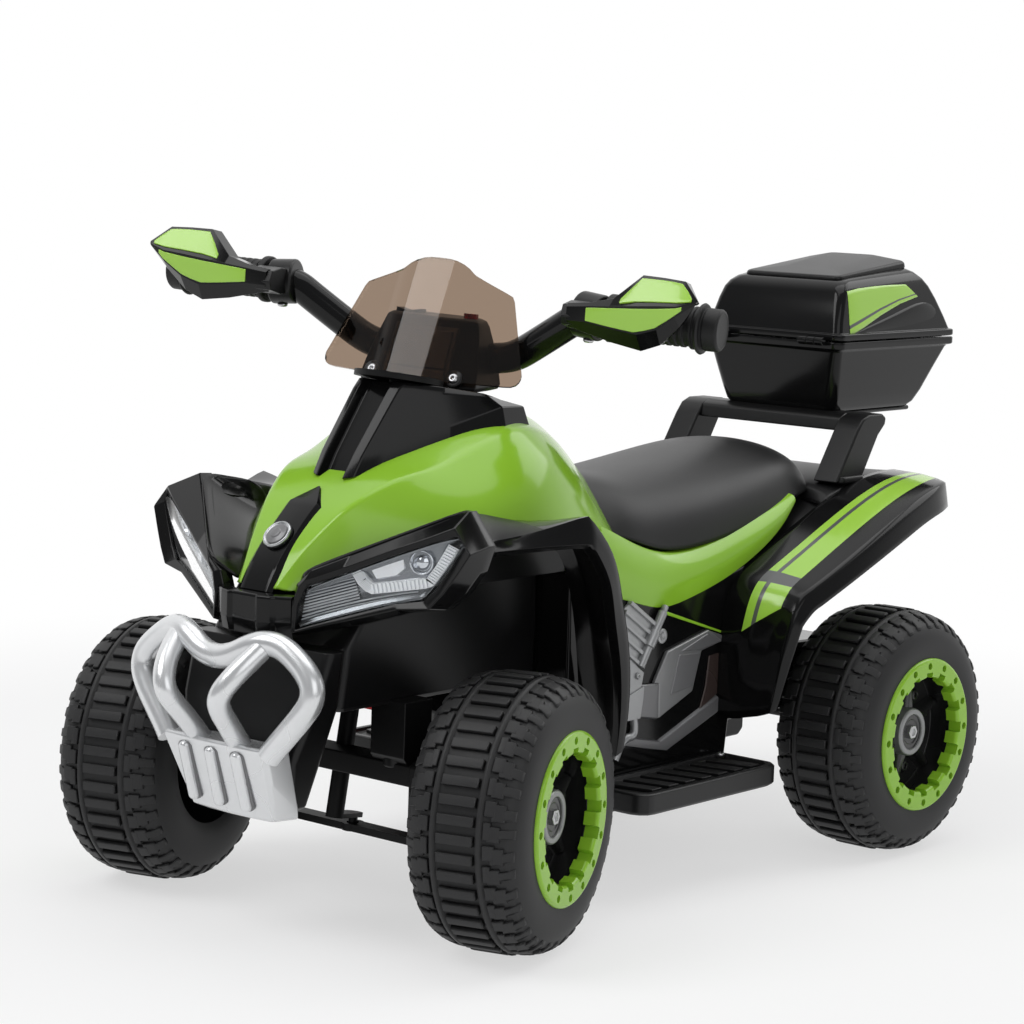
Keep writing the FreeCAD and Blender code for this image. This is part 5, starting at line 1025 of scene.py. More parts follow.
# rear fenders: rows climb from the toe over the knee to the tail; columns from the tub to the outer skirt
rearSet = {
    "wall": 2.6,
    "rows": (
        ((87, 304, 104), (104, 304, 106), (110, 304, 107), (113, 304, 108), (126, 304, 111), (137, 303, 115),
         (140, 308, 117), (136, 312, 117)),
        ((87, 304, 136), (106, 304, 138), (112, 304, 140), (115, 304, 141), (131, 304, 147), (144, 303, 150),
         (148, 309, 148), (143, 313, 148)),
        ((87, 304, 158), (108, 305, 170), (114.5, 306.5, 175), (117.5, 307.5, 177.5), (135, 314, 190),
         (148, 311, 186), (152, 318, 178), (147, 321, 178)),
        ((87, 311, 192), (108, 313, 195), (114.5, 314, 196), (117.5, 314.5, 196.5), (135, 319, 197),
         (149, 321, 198), (153, 330, 188), (148, 332, 188)),
        ((87, 322, 206), (108, 324, 205.5), (114.5, 324.5, 205.5), (117.5, 325, 205.3), (135, 326.5, 203.5),
         (150, 328, 202), (154, 336, 190), (149, 338, 190)),
        ((87, 331, 211), (108, 332, 210), (114.5, 332.5, 209.8), (117.5, 333, 209.5), (135, 334, 207),
         (151, 335, 205), (155, 342, 193), (150, 344, 193)),
        ((87, 362, 223.5), (108, 362, 222), (114.5, 362, 221.7), (117.5, 362, 221.5), (135, 362, 219),
         (153, 362, 216), (157, 366, 203), (151, 367, 203)),
        ((87, 400, 240), (108, 400, 238.5), (114.5, 400, 238), (117.5, 400, 237.8), (135, 400, 235.5),
         (154, 400, 232), (158, 402, 217), (152, 403, 217)),
        ((87, 440, 256), (108, 440, 254.5), (114.5, 440, 254), (117.5, 440, 253.8), (135, 440, 251.5),
         (153, 440, 248), (157, 441, 231), (151, 441, 231)),
        ((87, 470, 265), (108, 470, 264), (114.5, 470, 263.6), (117.5, 470, 263.4), (135, 470, 261.5),
         (151, 470, 259), (155, 470, 241), (149, 470, 241)),
        ((87, 497, 270), (108, 497, 269.5), (114.5, 497, 269.2), (117.5, 497, 269), (135, 496, 267.5),
         (149, 495, 265.5), (153, 495, 246), (147, 495, 246)),
        ((87, 526, 270), (106, 525, 269.5), (112, 524, 269.3), (115, 523.5, 269.2), (130, 519, 268),
         (142, 513, 266.5), (146, 512, 248), (140, 511, 248)),
        ((87, 531, 262), (105, 530, 261), (111, 529, 260.5), (114, 528.5, 260.3), (128, 524, 258),
         (140, 517, 256), (143, 515, 248), (138, 514, 248)),
        ((87, 530, 246), (105, 529, 246), (111, 528, 246), (114, 527.5, 246), (127, 523, 246),
         (138, 516, 246), (140, 514, 246), (135, 512, 246)),
    ),
}


def rearLook(r, c):
    if 2 <= r <= 10 and 1 <= c <= 3:
        if c == 2 or r == 4:
            return 2
        return 1
    return 0


for side, tag in sides:
    rearMesh = gridMesh(rearSet["rows"], side=side)
    creaseGrid(rearMesh, 8, rowsKept=(2, 11, 13), colsKept=(1, 2, 3, 4, 5, 6), amount=0.8)
    paintGrid(rearMesh, rearLook, 7)
    addPiece("rearFender_" + tag, rearMesh, ("blackGloss", "stripeGreen", "stripeGrey"),
             swaps=("rear_body",), levels=2, thick=rearSet["wall"])

# rear deck between the fenders
deckSet = {
    "wall": 2.6, "lip": ((372, 222), (386, 230), (402, 240), (420, 247), (442, 254)), "lipSag": 4,
    "lipAcross": (-88, -60, -30, 0, 30, 60, 88),
    "rows": (
        ((0, 440, 250), (30, 440, 250), (62, 438, 250), (80, 432, 250), (88, 428, 250)),
        ((0, 446, 262), (30, 446, 262), (62, 444, 261.5), (80, 440, 259), (88, 438, 255)),
        ((0, 470, 264.5), (30, 470, 264.5), (62, 470, 264.5), (80, 470, 265), (88, 470, 265)),
        ((0, 505, 266), (30, 505, 266), (62, 505, 266.5), (80, 505, 268), (88, 505, 269.5)),
        ((0, 538, 266), (30, 537, 266), (62, 533, 267), (80, 529, 268.5), (88, 527, 269.5)),
        ((0, 543, 258), (30, 542, 258), (62, 538, 259), (80, 534, 260), (88, 532, 261)),
        ((0, 541, 240), (30, 540, 240), (62, 536, 240), (80, 532, 242), (88, 530, 246)),
    ),
}
deckMesh = gridMesh(deckSet["rows"])
creaseGrid(deckMesh, 5, rowsKept=(1, 4), amount=0.7)
across = deckSet["lipAcross"]
lipRows = [[(x, y, z - deckSet["lipSag"] * (x / across[-1]) ** 2) for x in across] for y, z in deckSet["lip"]]
lipMesh = gridMesh(lipRows)
addPiece("deckLip", lipMesh, "blackSatin", swaps=("rear_body",), levels=1, thick=deckSet["wall"])
addPiece("rearDeck", deckMesh, "blackSatin", swaps=("rear_body",), mirror=True, levels=2,
         thick=deckSet["wall"])
print("rear body made")

# rack: two bent legs and a cross beam carry the trunk
rackSet = {
    "leg": ((448, 264), (474, 302), (481, 310), (490, 313.4), (508, 313.4), (513, 310.5), (512, 305),
            (503, 297), (482, 264)),
    "reach": (64.5, 86.5), "beam": ((478, 300), (481, 310), (488, 313.4), (506, 313.4), (511, 303)),
    "tray": ((-47, 488), (47, 488), (47, 606), (-47, 606)), "beamReach": (-66, 66),
    "trayLevels": (308.5, 312.2), "foot": (13.5, -14, 18, 266, 5), "footSpot": (75.5, 466),
    "footLevels": (263, 268.5),
}
rackParts = []
for side in (1, -1):
    rackParts.append(slabMesh(rackSet["leg"], "x", *rackSet["reach"], side))
    footX, footY = rackSet["footSpot"]
    foot = [(x + side * footX, y + footY) for x, y, z in boxRing(*rackSet["foot"])]
    rackParts.append(slabMesh(foot, "z", *rackSet["footLevels"]))
rackParts.append(slabMesh(rackSet["beam"], "x", *rackSet["beamReach"]))
rackParts.append(slabMesh(rackSet["tray"], "z", *rackSet["trayLevels"]))
addPiece("rackFrame", joinMesh(rackParts), "blackSatin",
         swaps=("rack_beam", "rack_leg_left", "rack_leg_right"), bevel=2.2, segments=3)

# trunk: tapered tub with a rim, domed lid on its own hinge
trunkSet = {
    "base": ((44, 497, 596, 312, 6), (49, 491, 603, 312.6, 8), (51.4, 488.4, 609, 316, 9),
             (54, 486, 616, 325, 9), (58, 482, 626, 343, 8), (61.5, 479, 635.5, 359, 7),
             (62.5, 478, 637, 360.6, 7), (65.5, 475, 640, 361.4, 8), (66, 474.5, 640.5, 362.4, 8),
             (66, 474.5, 640.5, 366.6, 8), (65.5, 475, 640, 367.2, 8), (59.5, 481.5, 633, 367.2, 6),
             (59, 482, 632, 366, 6), (55, 486, 620, 340, 6), (50, 490.5, 607, 318, 6),
             (46, 494, 600, 316, 5)),
    "lid": ((44, 505, 590, 410, 5, 5), (52, 496, 604, 404, 5, 5), (56, 490, 616, 392, 5, 3),
            (60, 481.5, 633, 372, 5, 0), (60, 481, 633.5, 368.4, 5, 0), (65.5, 475, 640, 368.2, 8, 0),
            (66, 474.5, 640.5, 369, 8, 0), (66, 474.5, 640.5, 372.4, 8, 0), (65.5, 475, 640, 373.2, 8, 0),
            (62.6, 477.6, 637.5, 373.6, 6, 0), (61, 480, 632, 382, 6, 1), (58.8, 484.4, 622, 395, 6.5, 2.5),
            (57, 488, 614, 403.4, 7, 4), (55, 491.4, 608, 408, 8, 5.5), (51.5, 496, 601, 411.6, 9, 7),
            (46, 502, 594, 414, 10, 8)),
    "plate": ((45, 500, 597, 413, 6, 8.6), (44.5, 500.5, 596.5, 415.4, 6, 10),
              (43, 502, 595, 416.4, 6, 10.6), (22, 520, 586, 419.5, 6, 11)),
    "hinge": {"y": 468.8, "z": 367.8, "radius": 3.2,
              "tub": ((33, 40), (48, 55)),
              "lid": ((40.6, 47.4),), "rises": {"tub": (-3.2, -0.9), "lid": (0.9, 3.2)}, "round": 0.5,
              "leaf": (0.4, 1.0, 477)},
    "panel": ((495.5, 405.4, 493, 371.6), (512, 407.4, 512, 377.5), (535, 408.6, 538, 386.5),
              (557, 409.2, 566, 394.5), (577, 409.2, 592, 399.6)),
    "shares": (0.0, 0.12, 0.35, 0.58, 0.76, 0.84, 0.93, 1.0), "stripe": 4, "patchLift": 0.4,
    "notch": {"half": 24, "end": 512, "depth": 5.5}, "wallRings": 9,
    "ribs": (
        ((61.6, 500, 374.6), (63.4, 500, 373.2), (62.5, 500, 372)),
        ((58.2, 560, 388), (62.6, 560, 387), (62, 562, 372)),
        ((56.2, 600, 399), (61.6, 602, 398.6), (61.5, 606, 372)),
        ((56.0, 618, 392), (60.4, 622, 390), (60.8, 626, 372)),
    ),
}
baseMesh = gridMesh([boxRing(*ring) for ring in trunkSet["base"]], loop=True, caps=True)
addPiece("trunkTub", baseMesh, "blackGloss", swaps=("trunk_base",), bevel=0.5, angle=40.0)
lidMesh = gridMesh([boxRing(*ring) for ring in trunkSet["lid"]], loop=True, caps=True)
addPiece("trunkDome", lidMesh, "blackGloss", body="lid", swaps=("trunk_lid",), bevel=0.8, angle=40.0)
plateRows = [boxRing(*ring) for ring in trunkSet["plate"]]
notch = trunkSet["notch"]
for row in plateRows[1:]:
    for index, (x, y, z) in enumerate(row):
        if abs(x) < notch["half"] and y < notch["end"]:
            row[index] = (x, y + notch["depth"], z)
plateMesh = gridMesh(plateRows, loop=True, caps=True)
addPiece("lidPlate", plateMesh, "blackSatin", body="lid", swaps=("trunk_lid",), bevel=0.8, angle=20.0)


def lidWall(z, y):
    rings = trunkSet["lid"][trunkSet["wallRings"]:]
    for low, high in zip(rings, rings[1:]):
        lowZ = low[3] + low[5] * (y - low[1]) / (low[2] - low[1])
        highZ = high[3] + high[5] * (y - high[1]) / (high[2] - high[1])
        if lowZ <= z <= highZ:
            return low[0] + (high[0] - low[0]) * (z - lowZ) / (highZ - lowZ)
    return rings[0][0]


def lidPatch(settings, side):
    rows = []
    for topY, topZ, lowY, lowZ in settings["panel"]:
        row = []
        for share in settings["shares"]:
            y = topY + (lowY - topY) * share
            z = topZ + (lowZ - topZ) * share
            row.append((lidWall(z, y) + settings["patchLift"], y, z))
        rows.append(row)
    return gridMesh(rows, side=side)


for side, tag in sides:
    patch = lidPatch(trunkSet, side)
    paintGrid(patch, lambda r, c: 1 if c == trunkSet["stripe"] else 0, len(trunkSet["shares"]) - 1)
    addPiece("lidPatch_" + tag, patch, ("stripeGreen", "stripeGrey"), body="lid", swaps=("trunk_lid",),
             thick=1.0)
    rib = gridMesh(trunkSet["ribs"], side=side)
    addPiece("lidRib_" + tag, rib, "blackGloss", body="lid", swaps=("trunk_lid",), levels=2, thick=2.0)

# hinge along the front rim: knuckles on the tub, one between them on the lid
hinge = trunkSet["hinge"]
for kind, body, node in (("tub", "chassis", "trunk_base"), ("lid", "lid", "trunk_lid")):
    size, soft = hinge["radius"], hinge["round"]
    inset, front, back = hinge["leaf"]
    below, above = hinge["rises"][kind]
    knuckles = []
    for side in (1, -1):
        for low, high in hinge[kind]:
            barrel = ((low, size - soft), (low + soft, size), (high - soft, size), (high, size - soft))
            knuckles.append(turnedMesh(barrel, 24, (0, hinge["y"], hinge["z"]), (side, 0, 0)))
            near, far = low + inset, high - inset
            leaf = ((near, hinge["y"] - front), (far, hinge["y"] - front), (far, back), (near, back))
            knuckles.append(slabMesh(leaf, "z", hinge["z"] + below, hinge["z"] + above, side))
    addPiece(kind + "Hinge", joinMesh(knuckles), "blackGloss", body=body, swaps=(node,), bevel=0.3)
print("rack and trunk made")

# steering group: built straight ahead, then turned to the rest angle
barSet = {
    "line": ((205.0, 103.8, 404), (160, 102.4, 404.3), (126, 101.2, 404.8), (108, 100.8, 404.4),
             (94, 103.6, 394.8), (72, 109, 380), (58, 112.4, 371), (46, 113, 367.6), (22, 113, 366.4),
             (0, 113, 366)),
    "radius": 10.5,
}
barMesh = tubeMesh(wholeLine(barSet["line"]), barSet["radius"], fine=10)
addPiece("handleTube", barMesh, "blackGloss", body="steering", swaps=("handlebar",))

# grips: collar, rings along the sleeve, knob; the tail is measured back from the end
gripSet = {
    "start": (127.5, 101, 404.6), "end": (206.6, 104, 404), "first": 7.0, "pitch": 5.0, "plain": 24,
    "head": ((0, 10.6), (0.2, 15.2), (1.2, 16.0), (4.0, 16.0), (5.0, 15.2), (5.4, 12.8)),
    "ring": ((0, 12.4), (0.5, 13.4), (3.0, 13.4), (3.5, 12.4)),
    "tail": ((20, 12.8), (19.6, 14.2), (18, 14.2), (17.4, 13.2), (15.6, 13.2), (15, 16.2), (13.6, 17.0),
             (12.2, 16.2), (11.8, 13.6), (10.6, 13.6), (10, 14.2), (1.6, 14.0), (0.5, 13.2), (0, 11.8),
             (0.5, 10.8), (0.5, 3.0), (0.5, 0.05)),
}


def gripProfile(length):
    profile = list(gripSet["head"])
    along = gripSet["first"]
    while along < length - gripSet["plain"]:
        profile += [(along + step, radius) for step, radius in gripSet["ring"]]
        along += gripSet["pitch"]
    return profile + [(length - back, radius) for back, radius in gripSet["tail"]]


for side, tag in sides:
    start = Vector(gripSet["start"])
    line = Vector(gripSet["end"]) - start
    axis = Vector((side * line.x, line.y, line.z)).normalized()
    grip = turnedMesh(gripProfile(line.length), 40, (side * start.x, start.y, start.z), axis)
    addPiece("gripSleeve_" + tag, grip, "gripRubber", body="steering", swaps=("grip_" + tag,), angle=40.0,
             bevel=0.25)

# hand guards: folded shield with two green inlays, carried by a clamp on the bar
guardSet = {
    "stations": (
        ((111, 68, 414.5), (112, 64.5, 412.5), (112, 64.5, 403.5), (112, 69.5, 399)),
        ((127, 67, 416.5), (127, 62.8, 414.2), (127, 62.8, 403.8), (127, 69.5, 395.5)),
        ((143.2, 68.1, 420.6), (143, 61.9, 415.8), (143, 62.4, 401.4), (143, 70.5, 391.6)),
        ((160.6, 73.3, 437.2), (161, 60.6, 417.6), (163, 62.6, 399.2), (164, 70.5, 388.3)),
        ((176, 72, 437), (176, 59.6, 419.2), (177, 61.4, 404), (177, 70, 393.5)),
        ((191.3, 70.3, 436.2), (190, 58.6, 420.4), (190, 58.9, 413.6), (190.5, 67, 407)),
        ((203.4, 63, 425.2), (202.5, 61.2, 423.8), (202, 61.4, 422.6), (201.6, 62.6, 421.4)),
    ),
    "back": (15, 15, 14, 13, 12, 9, 3),
    "upper": ((149.5, 0.58, 0.84), (155, 0.27, 0.85), (161, 0.11, 0.86), (168, 0.10, 0.86),
              (176, 0.10, 0.86), (184, 0.10, 0.86), (190, 0.12, 0.86), (195, 0.22, 0.85),
              (199.4, 0.50, 0.80)),
    "lower": ((126.6, 0.10, 0.92), (135, 0.09, 0.92), (143, 0.09, 0.92), (152, 0.09, 0.93),
              (161, 0.09, 0.93), (169, 0.10, 0.92), (176, 0.11, 0.91), (184, 0.13, 0.88), (190, 0.16, 0.82),
              (194, 0.20, 0.70)),
    "wall": 2.4, "lift": 0.9, "upLift": 0.45, "hem": 2, "inlay": 1.8, "inlaySteps": 5,
}
clampSet = {
    "spot": (115.5, 99.5, 404.6), "axis": (94.5, -14.0, -8.0), "radius": 15.5, "bore": 10.7, "half": 9,
    "round": 1,
    "arm": ((66.5, 400.5), (64, 406), (67, 413.6), (80, 415.5), (96, 413), (96, 397.5), (80, 397)),
    "armReach": (-7.5, 10.5), "earHalf": 6.5, "earRun": (9, 22), "earHeight": 5, "screw": (-2, -0.4, 3.6),
}


def guardSpot(x, band, share):
    stations = guardSet["stations"]
    edges = []
    for column in (band, band + 1):
        for low, high in zip(stations, stations[1:]):
            if low[column][0] <= x <= high[column][0]:
                part = (x - low[column][0]) / (high[column][0] - low[column][0])
                edges.append(Vector(low[column]).lerp(Vector(high[column]), part))
                break
    point = edges[0].lerp(edges[1], share)
    return (x, point.y - guardSet["lift"], point.z + (guardSet["upLift"] if band == 0 else 0.0))


for side, tag in sides:
    node = "handguard_" + tag
    rows = []
    for station, back in zip(guardSet["stations"], guardSet["back"]):
        top, low = station[0], station[-1]
        first = (top[0], top[1] + back, top[2] - guardSet["hem"])
        last = (low[0], low[1] + back, low[2] + guardSet["hem"])
        rows.append((first, *station, last))
    shield = gridMesh(rows, side=side)
    addPiece("guardShield_" + tag, shield, "blackGloss", body="steering", swaps=(node,),
             thick=guardSet["wall"], bevel=0.9, angle=9.0, segments=3)
    for band, kind in enumerate(("upper", "lower")):
        rows = []
        steps = guardSet["inlaySteps"]
        for x, first, last in guardSet[kind]:
            rows.append([guardSpot(x, band, first + (last - first) * k / steps) for k in range(steps + 1)])
        inlay = gridMesh(rows, side=side)
        addPiece(kind + "Inlay_" + tag, inlay, "stripeGreen", body="steering", swaps=(node,),
                 thick=guardSet["inlay"], bevel=0.35)
    x, y, z = clampSet["spot"]
    axisX, axisY, axisZ = clampSet["axis"]
    big, bore, half, soft = (clampSet[key] for key in ("radius", "bore", "half", "round"))
    shape = ((-half, bore), (-half, big - soft), (-half + soft, big),
             (half - soft, big), (half, big - soft), (half, bore))
    axis = Vector((side * axisX, axisY, axisZ)).normalized()
    clamp = [turnedMesh(shape, 36, (side * x, y, z), axis)]
    low, high = clampSet["armReach"]
    clamp.append(slabMesh(clampSet["arm"], "x", x + low, x + high, side))
    wide, tall = clampSet["earHalf"], clampSet["earHeight"]
    first, last = clampSet["earRun"]
    ear = ((x - wide, y + first), (x + wide, y + first), (x + wide, y + last), (x - wide, y + last))
    clamp.append(slabMesh(ear, "z", z - tall, z + tall, side))
    addPiece("guardClamp_" + tag, joinMesh(clamp), "blackSatin", body="steering", swaps=(node,), bevel=0.9)
    shift, drop, radius = clampSet["screw"]
    screw = screwMesh((side * x, y + shift, z - big + drop), (0, 0, -1), radius)
    addPiece("clampScrew_" + tag, screw, "axleSteel", body="steering")

# wind screen: smoky folded sheet with stepped top corners
screenSet = {
    "plan": ((0, 63.5), (6, 63.6), (12, 64.0), (18, 65.1), (24, 67.0), (30, 69.6), (75, 82.1)), "foot": 345,
    "lean": 0.5,
    "columns": ((0, 352, 431), (7, 352, 430.8), (12, 352, 430), (17, 352, 428.2), (21.5, 352, 425.6),
                (24.5, 352, 423), (26.5, 352, 421.4), (29.4, 352, 420), (30.6, 352, 419.5), (34, 352, 418),
                (42, 352, 414.7), (50, 352, 411.4), (54, 352, 409.6), (56, 352, 406.5), (63, 352, 387.6),
                (68, 352.3, 374.2), (71, 353.6, 366), (72.6, 355.6, 361.8), (73.2, 358, 360)),
    "rows": 12, "wall": 2.2, "boss": ((-1, 6.4), (0.8, 6.4), (1.4, 5.8), (1.4, 3.6)),
    "bossSpot": (30.4, 354.5), "bossLift": 0.4, "bossAxis": (0, -0.9, 0.44), "screw": (1.2, 0.6, 3.6),
}


def sheetY(x, z):
    return between(screenSet["plan"], abs(x)) + (z - screenSet["foot"]) * screenSet["lean"]


sheetRows = []
columns = screenSet["columns"]
for x, low, top in [(-c[0], c[1], c[2]) for c in reversed(columns[1:])] + list(columns):
    row = []
    for k in range(screenSet["rows"] + 1):
        z = low + (top - low) * k / screenSet["rows"]
        row.append((x, sheetY(x, z), z))
    sheetRows.append(row)
addPiece("screenSheet", gridMesh(sheetRows), "smokeSheet", body="steering", swaps=("windshield",),
         thick=screenSet["wall"], bevel=0.5, angle=50.0)
for side, tag in sides:
    x, z = screenSet["bossSpot"]
    y = sheetY(x, z) - screenSet["bossLift"]
    seat = turnedMesh(screenSet["boss"], 24, (side * x, y, z), screenSet["bossAxis"])
    addPiece("screenBoss_" + tag, seat, "blackSatin", body="steering")
    front, above, radius = screenSet["screw"]
    screw = screwMesh((side * x, y - front, z + above), screenSet["bossAxis"], radius)
    addPiece("screenScrew_" + tag, screw, "axleSteel", body="steering")

# dash pod behind the screen: curved front, framed face, lower tray, rounded back
dashSet = {
    "levels": ((346, 42, 128, 2.0), (349, 43.5, 129, 0.0), (360, 42, 127.5, 0.0), (378, 38, 125, 0.0),
               (388, 35, 123.5, 0.0), (391.4, 33.5, 122, 0.0), (393, 31, 119, 2.0)),
    "behind": 5.2, "samples": 9, "faceUp": (0.89, 0.45), "flank": (1, 104), "corner": 8, "faceSteps": 6,
    "topTrim": 0.95, "sink": -1.5, "step": 0.4, "bevel": 0.97,
    "face": ((24.5, 354.5, 386.5, 1.3), (21.8, 359, 383.6, 2.4)), "tray": (23.5, 351.5, 357.6, 2.2),
}


def dashFront(x, z, lift):
    back, up = dashSet["faceUp"]
    y = sheetY(x, z) + dashSet["behind"]
    return (x, y - lift * back, z + lift * up)


podRows = []
bulge, flankY = dashSet["flank"]
corner = dashSet["corner"]
for z, half, back, tuck in dashSet["levels"]:
    row = []
    for k in range(dashSet["samples"]):
        x = -half + 2 * half * k / (dashSet["samples"] - 1)
        row.append((*dashFront(x, z, -tuck)[:2], z))
    flank = [(half + bulge, flankY, z), (half, back - corner, z), (half - corner, back, z)]
    podRows.append(row + flank + [(-x, y, z) for x, y, z in reversed(flank)])
podMesh = gridMesh(podRows, loop=True, caps=True)
addPiece("dashPod", podMesh, "blackSatin", body="steering", swaps=("dash_housing",), bevel=0.8, angle=28.0,
         segments=3)
faceParts = []
for half, low, top, lift in dashSet["face"] + (dashSet["tray"],):
    rows = []
    mid = (low + top) / 2
    steps = dashSet["faceSteps"]
    for trim, rise in ((1.0, dashSet["sink"]), (1.0, lift - dashSet["step"]), (dashSet["bevel"], lift)):
        ring = []
        for hand, end, wide in ((-1, low, 1.0), (1, top, dashSet["topTrim"])):
            for k in range(steps + 1):
                x = hand * (half - 2 * half * k / steps) * trim * wide
                ring.append(dashFront(x, mid + (end - mid) * trim, rise))
        rows.append(ring)
    faceParts.append(gridMesh(rows, loop=True, caps=True))
addPiece("dashFace", joinMesh(faceParts), "dashGrey", body="steering", swaps=("dash_housing",), bevel=0.3)
print("steering group made")

# bull bar: one silver loop with a dip, two bent inner tubes
bullSet = {
    "loop": ((45, -106.5, 126.5), (48.9, -106, 131.4), (58.2, -105.2, 141.8), (69, -104.2, 154),
             (76.5, -102.2, 165), (76, -101, 174.5), (70.2, -100.4, 182), (61.3, -100.4, 189),
             (49.5, -101.4, 196), (38.5, -104.6, 198), (27.5, -107.4, 194.6), (14, -109.5, 187),
             (0, -110, 184)),
    "post": ((37, -108, 193), (33.7, -118.8, 183.8), (29.6, -126.6, 175.3), (25, -131.5, 166.2),
             (22.6, -130, 158), (19.7, -117.9, 144.7), (18.4, -109, 134), (18, -104, 128)),
    "radius": 8.0, "postRadius": 7.3,
}
bullParts = [tubeMesh(wholeLine(bullSet["loop"]), bullSet["radius"], fine=12)]
for side in (1, -1):
    post = [(side * x, y, z) for x, y, z in bullSet["post"]]
    bullParts.append(tubeMesh(post, bullSet["postRadius"], fine=12))
addPiece("bullTube", joinMesh(bullParts), "silverCoat", swaps=("bull_bar",))

# skid plate: crowned face with three slanting ribs, each ringed by a dark grey band of painted shadow
skidSet = {
    "front": ((33, -92, 80), (37, -95, 82), (38.6, -97, 88), (42, -105, 107), (45.4, -113.4, 127.4),
              (45.8, -114, 130), (45, -112.6, 131.6)),
    "depth": 19.5, "flare": 5.0, "ribs": ((-25.5, -27.5), (-1.5, -3.5), (21.5, 20.5)), "ribHalf": 4.4,
    "shadowHalf": 6.2, "ribSteps": ((-1.0, 1.0), (2.0, 0.94), (3.4, 0.72), (4.2, 0.35)),
    "shadowSteps": ((-1.0, 1.0), (0.55, 1.0), (0.7, 0.9)), "ribEnds": (0.16, 0.86, 0.7), "ribRound": 0.085,
    "ribShear": 3.0, "ringSteps": 24, "foot": (-95.4, 82.5), "run": (18.6, 47.5), "crown": (1.2, 42.0),
    "out": (0.93, 0.36),
}


def skidSpot(x, v, lift):
    y = skidSet["foot"][0] - skidSet["run"][0] * v
    z = skidSet["foot"][1] + skidSet["run"][1] * v
    crown, half = skidSet["crown"]
    forward, down = skidSet["out"]
    return (x, y - crown * (1 - (x / half) ** 2) - lift * forward, z - lift * down)


rows = []
for x, y, z in skidSet["front"]:
    right = [(x * 0.55, y - 0.6, z), (x - 2, y + 0.8, z), (x + 1, y + 4, z)]
    right.append((x + skidSet["flare"], y + skidSet["depth"], z))
    rows.append([(-a, b, c) for a, b, c in reversed(right)] + [(0, y - 1.2, z)] + right)
skidMesh = gridMesh(rows, loop=True, caps=True)
addPiece("skidFace", skidMesh, "silverCoat", swaps=("skid_plate",), bevel=1.4, angle=28.0, segments=3)


def skidRib(top, low, half, steps):
    foot, head, run = skidSet["ribEnds"]
    rows = []
    for lift, trim in steps:
        ring = []
        for turn in range(skidSet["ringSteps"]):
            angle = 2 * math.pi * turn / skidSet["ringSteps"]
            v = (head if math.sin(angle) > 0 else foot) + skidSet["ribRound"] * math.sin(angle) * trim
            mid = low + (top - low) * (v - foot) / run
            x = mid + half * trim * math.cos(angle) - skidSet["ribShear"] * (0.5 - v)
            ring.append(skidSpot(x, v, lift))
        rows.append(ring)
    return gridMesh(rows, loop=True, caps=True)


ribParts = [skidRib(top, low, skidSet["ribHalf"], skidSet["ribSteps"]) for top, low in skidSet["ribs"]]
# a wider, low dark grey ring under each rib is painted shadow around the raised rib
ribShadowParts = [skidRib(top, low, skidSet["shadowHalf"], skidSet["shadowSteps"]) for top, low in skidSet["ribs"]]
addPiece("skidRibs", joinMesh(ribParts), "silverCoat", swaps=("skid_plate",), bevel=0.4, angle=50.0)
addPiece("skidRibShadows", joinMesh(ribShadowParts), "dressGrey", swaps=("skid_plate",))

# front frame: box bay under the hood, wedge behind the skid, king posts over the axle, side plates
baySet = {
    "bay": ((58, -58, 130, 150, 5), (60, -60, 134, 153, 6), (61, -56, 134, 190, 6), (60, -24, 134, 232, 6),
            (58, -20, 132, 240, 6)),
    "wedge": ((38, -80, -68, 85.6, 3), (41, -82, -66, 88, 4), (50, -91, -62, 119, 5), (59, -84, -58, 151, 6),
              (62, -72, -56, 190, 6)),
    "post": ((-13, 153), (-13, 116), (-9, 111), (9, 111), (13, 116), (13, 153)), "postReach": (44, 74),
    "collar": ((-44, 11), (-43, 12), (-36, 12), (-35, 11), (-34, 9), (0, 9)), "collarSpot": (59, 152),
    "plate": ((14, 226), (18, 260), (40, 268), (60, 271), (100, 269), (126, 263), (133, 226)),
    "plateReach": (79, 83),
}
bayParts = []
for kind in ("bay", "wedge"):
    bayParts.append(gridMesh([boxRing(*ring) for ring in baySet[kind]], loop=True, caps=True))
for side in (1, -1):
    bayParts.append(slabMesh(baySet["post"], "x", *baySet["postReach"], side))
    bayParts.append(slabMesh(baySet["plate"], "x", *baySet["plateReach"], side))
    x, z = baySet["collarSpot"]
    bayParts.append(turnedMesh(baySet["collar"], 32, (side * x, 0, z), (0, 0, 1)))
addPiece("frontBay", joinMesh(bayParts), "blackSatin", swaps=("front_frame",), bevel=1.2, angle=28.0,
         segments=3)

# front axle: slim bar with a block at each king pin
axleSet = {
    "bar": ((-82, 98), (-82, 112), (82, 112), (82, 98)), "barHalf": 11,
    "block": ((-13, 72), (-13, 112), (-9, 115), (9, 115), (13, 112), (13, 72), (9, 69), (-9, 69)),
    "blockReach": (78, 102),
}
axleParts = [slabMesh(axleSet["bar"], "y", -axleSet["barHalf"], axleSet["barHalf"])]
for side in (1, -1):
    axleParts.append(slabMesh(axleSet["block"], "x", *axleSet["blockReach"], side))
addPiece("axleBar", joinMesh(axleParts), "innerBlack", swaps=("front_axle_beam",), bevel=1.2, segments=3)
print("bull bar, bay and axle bar made")

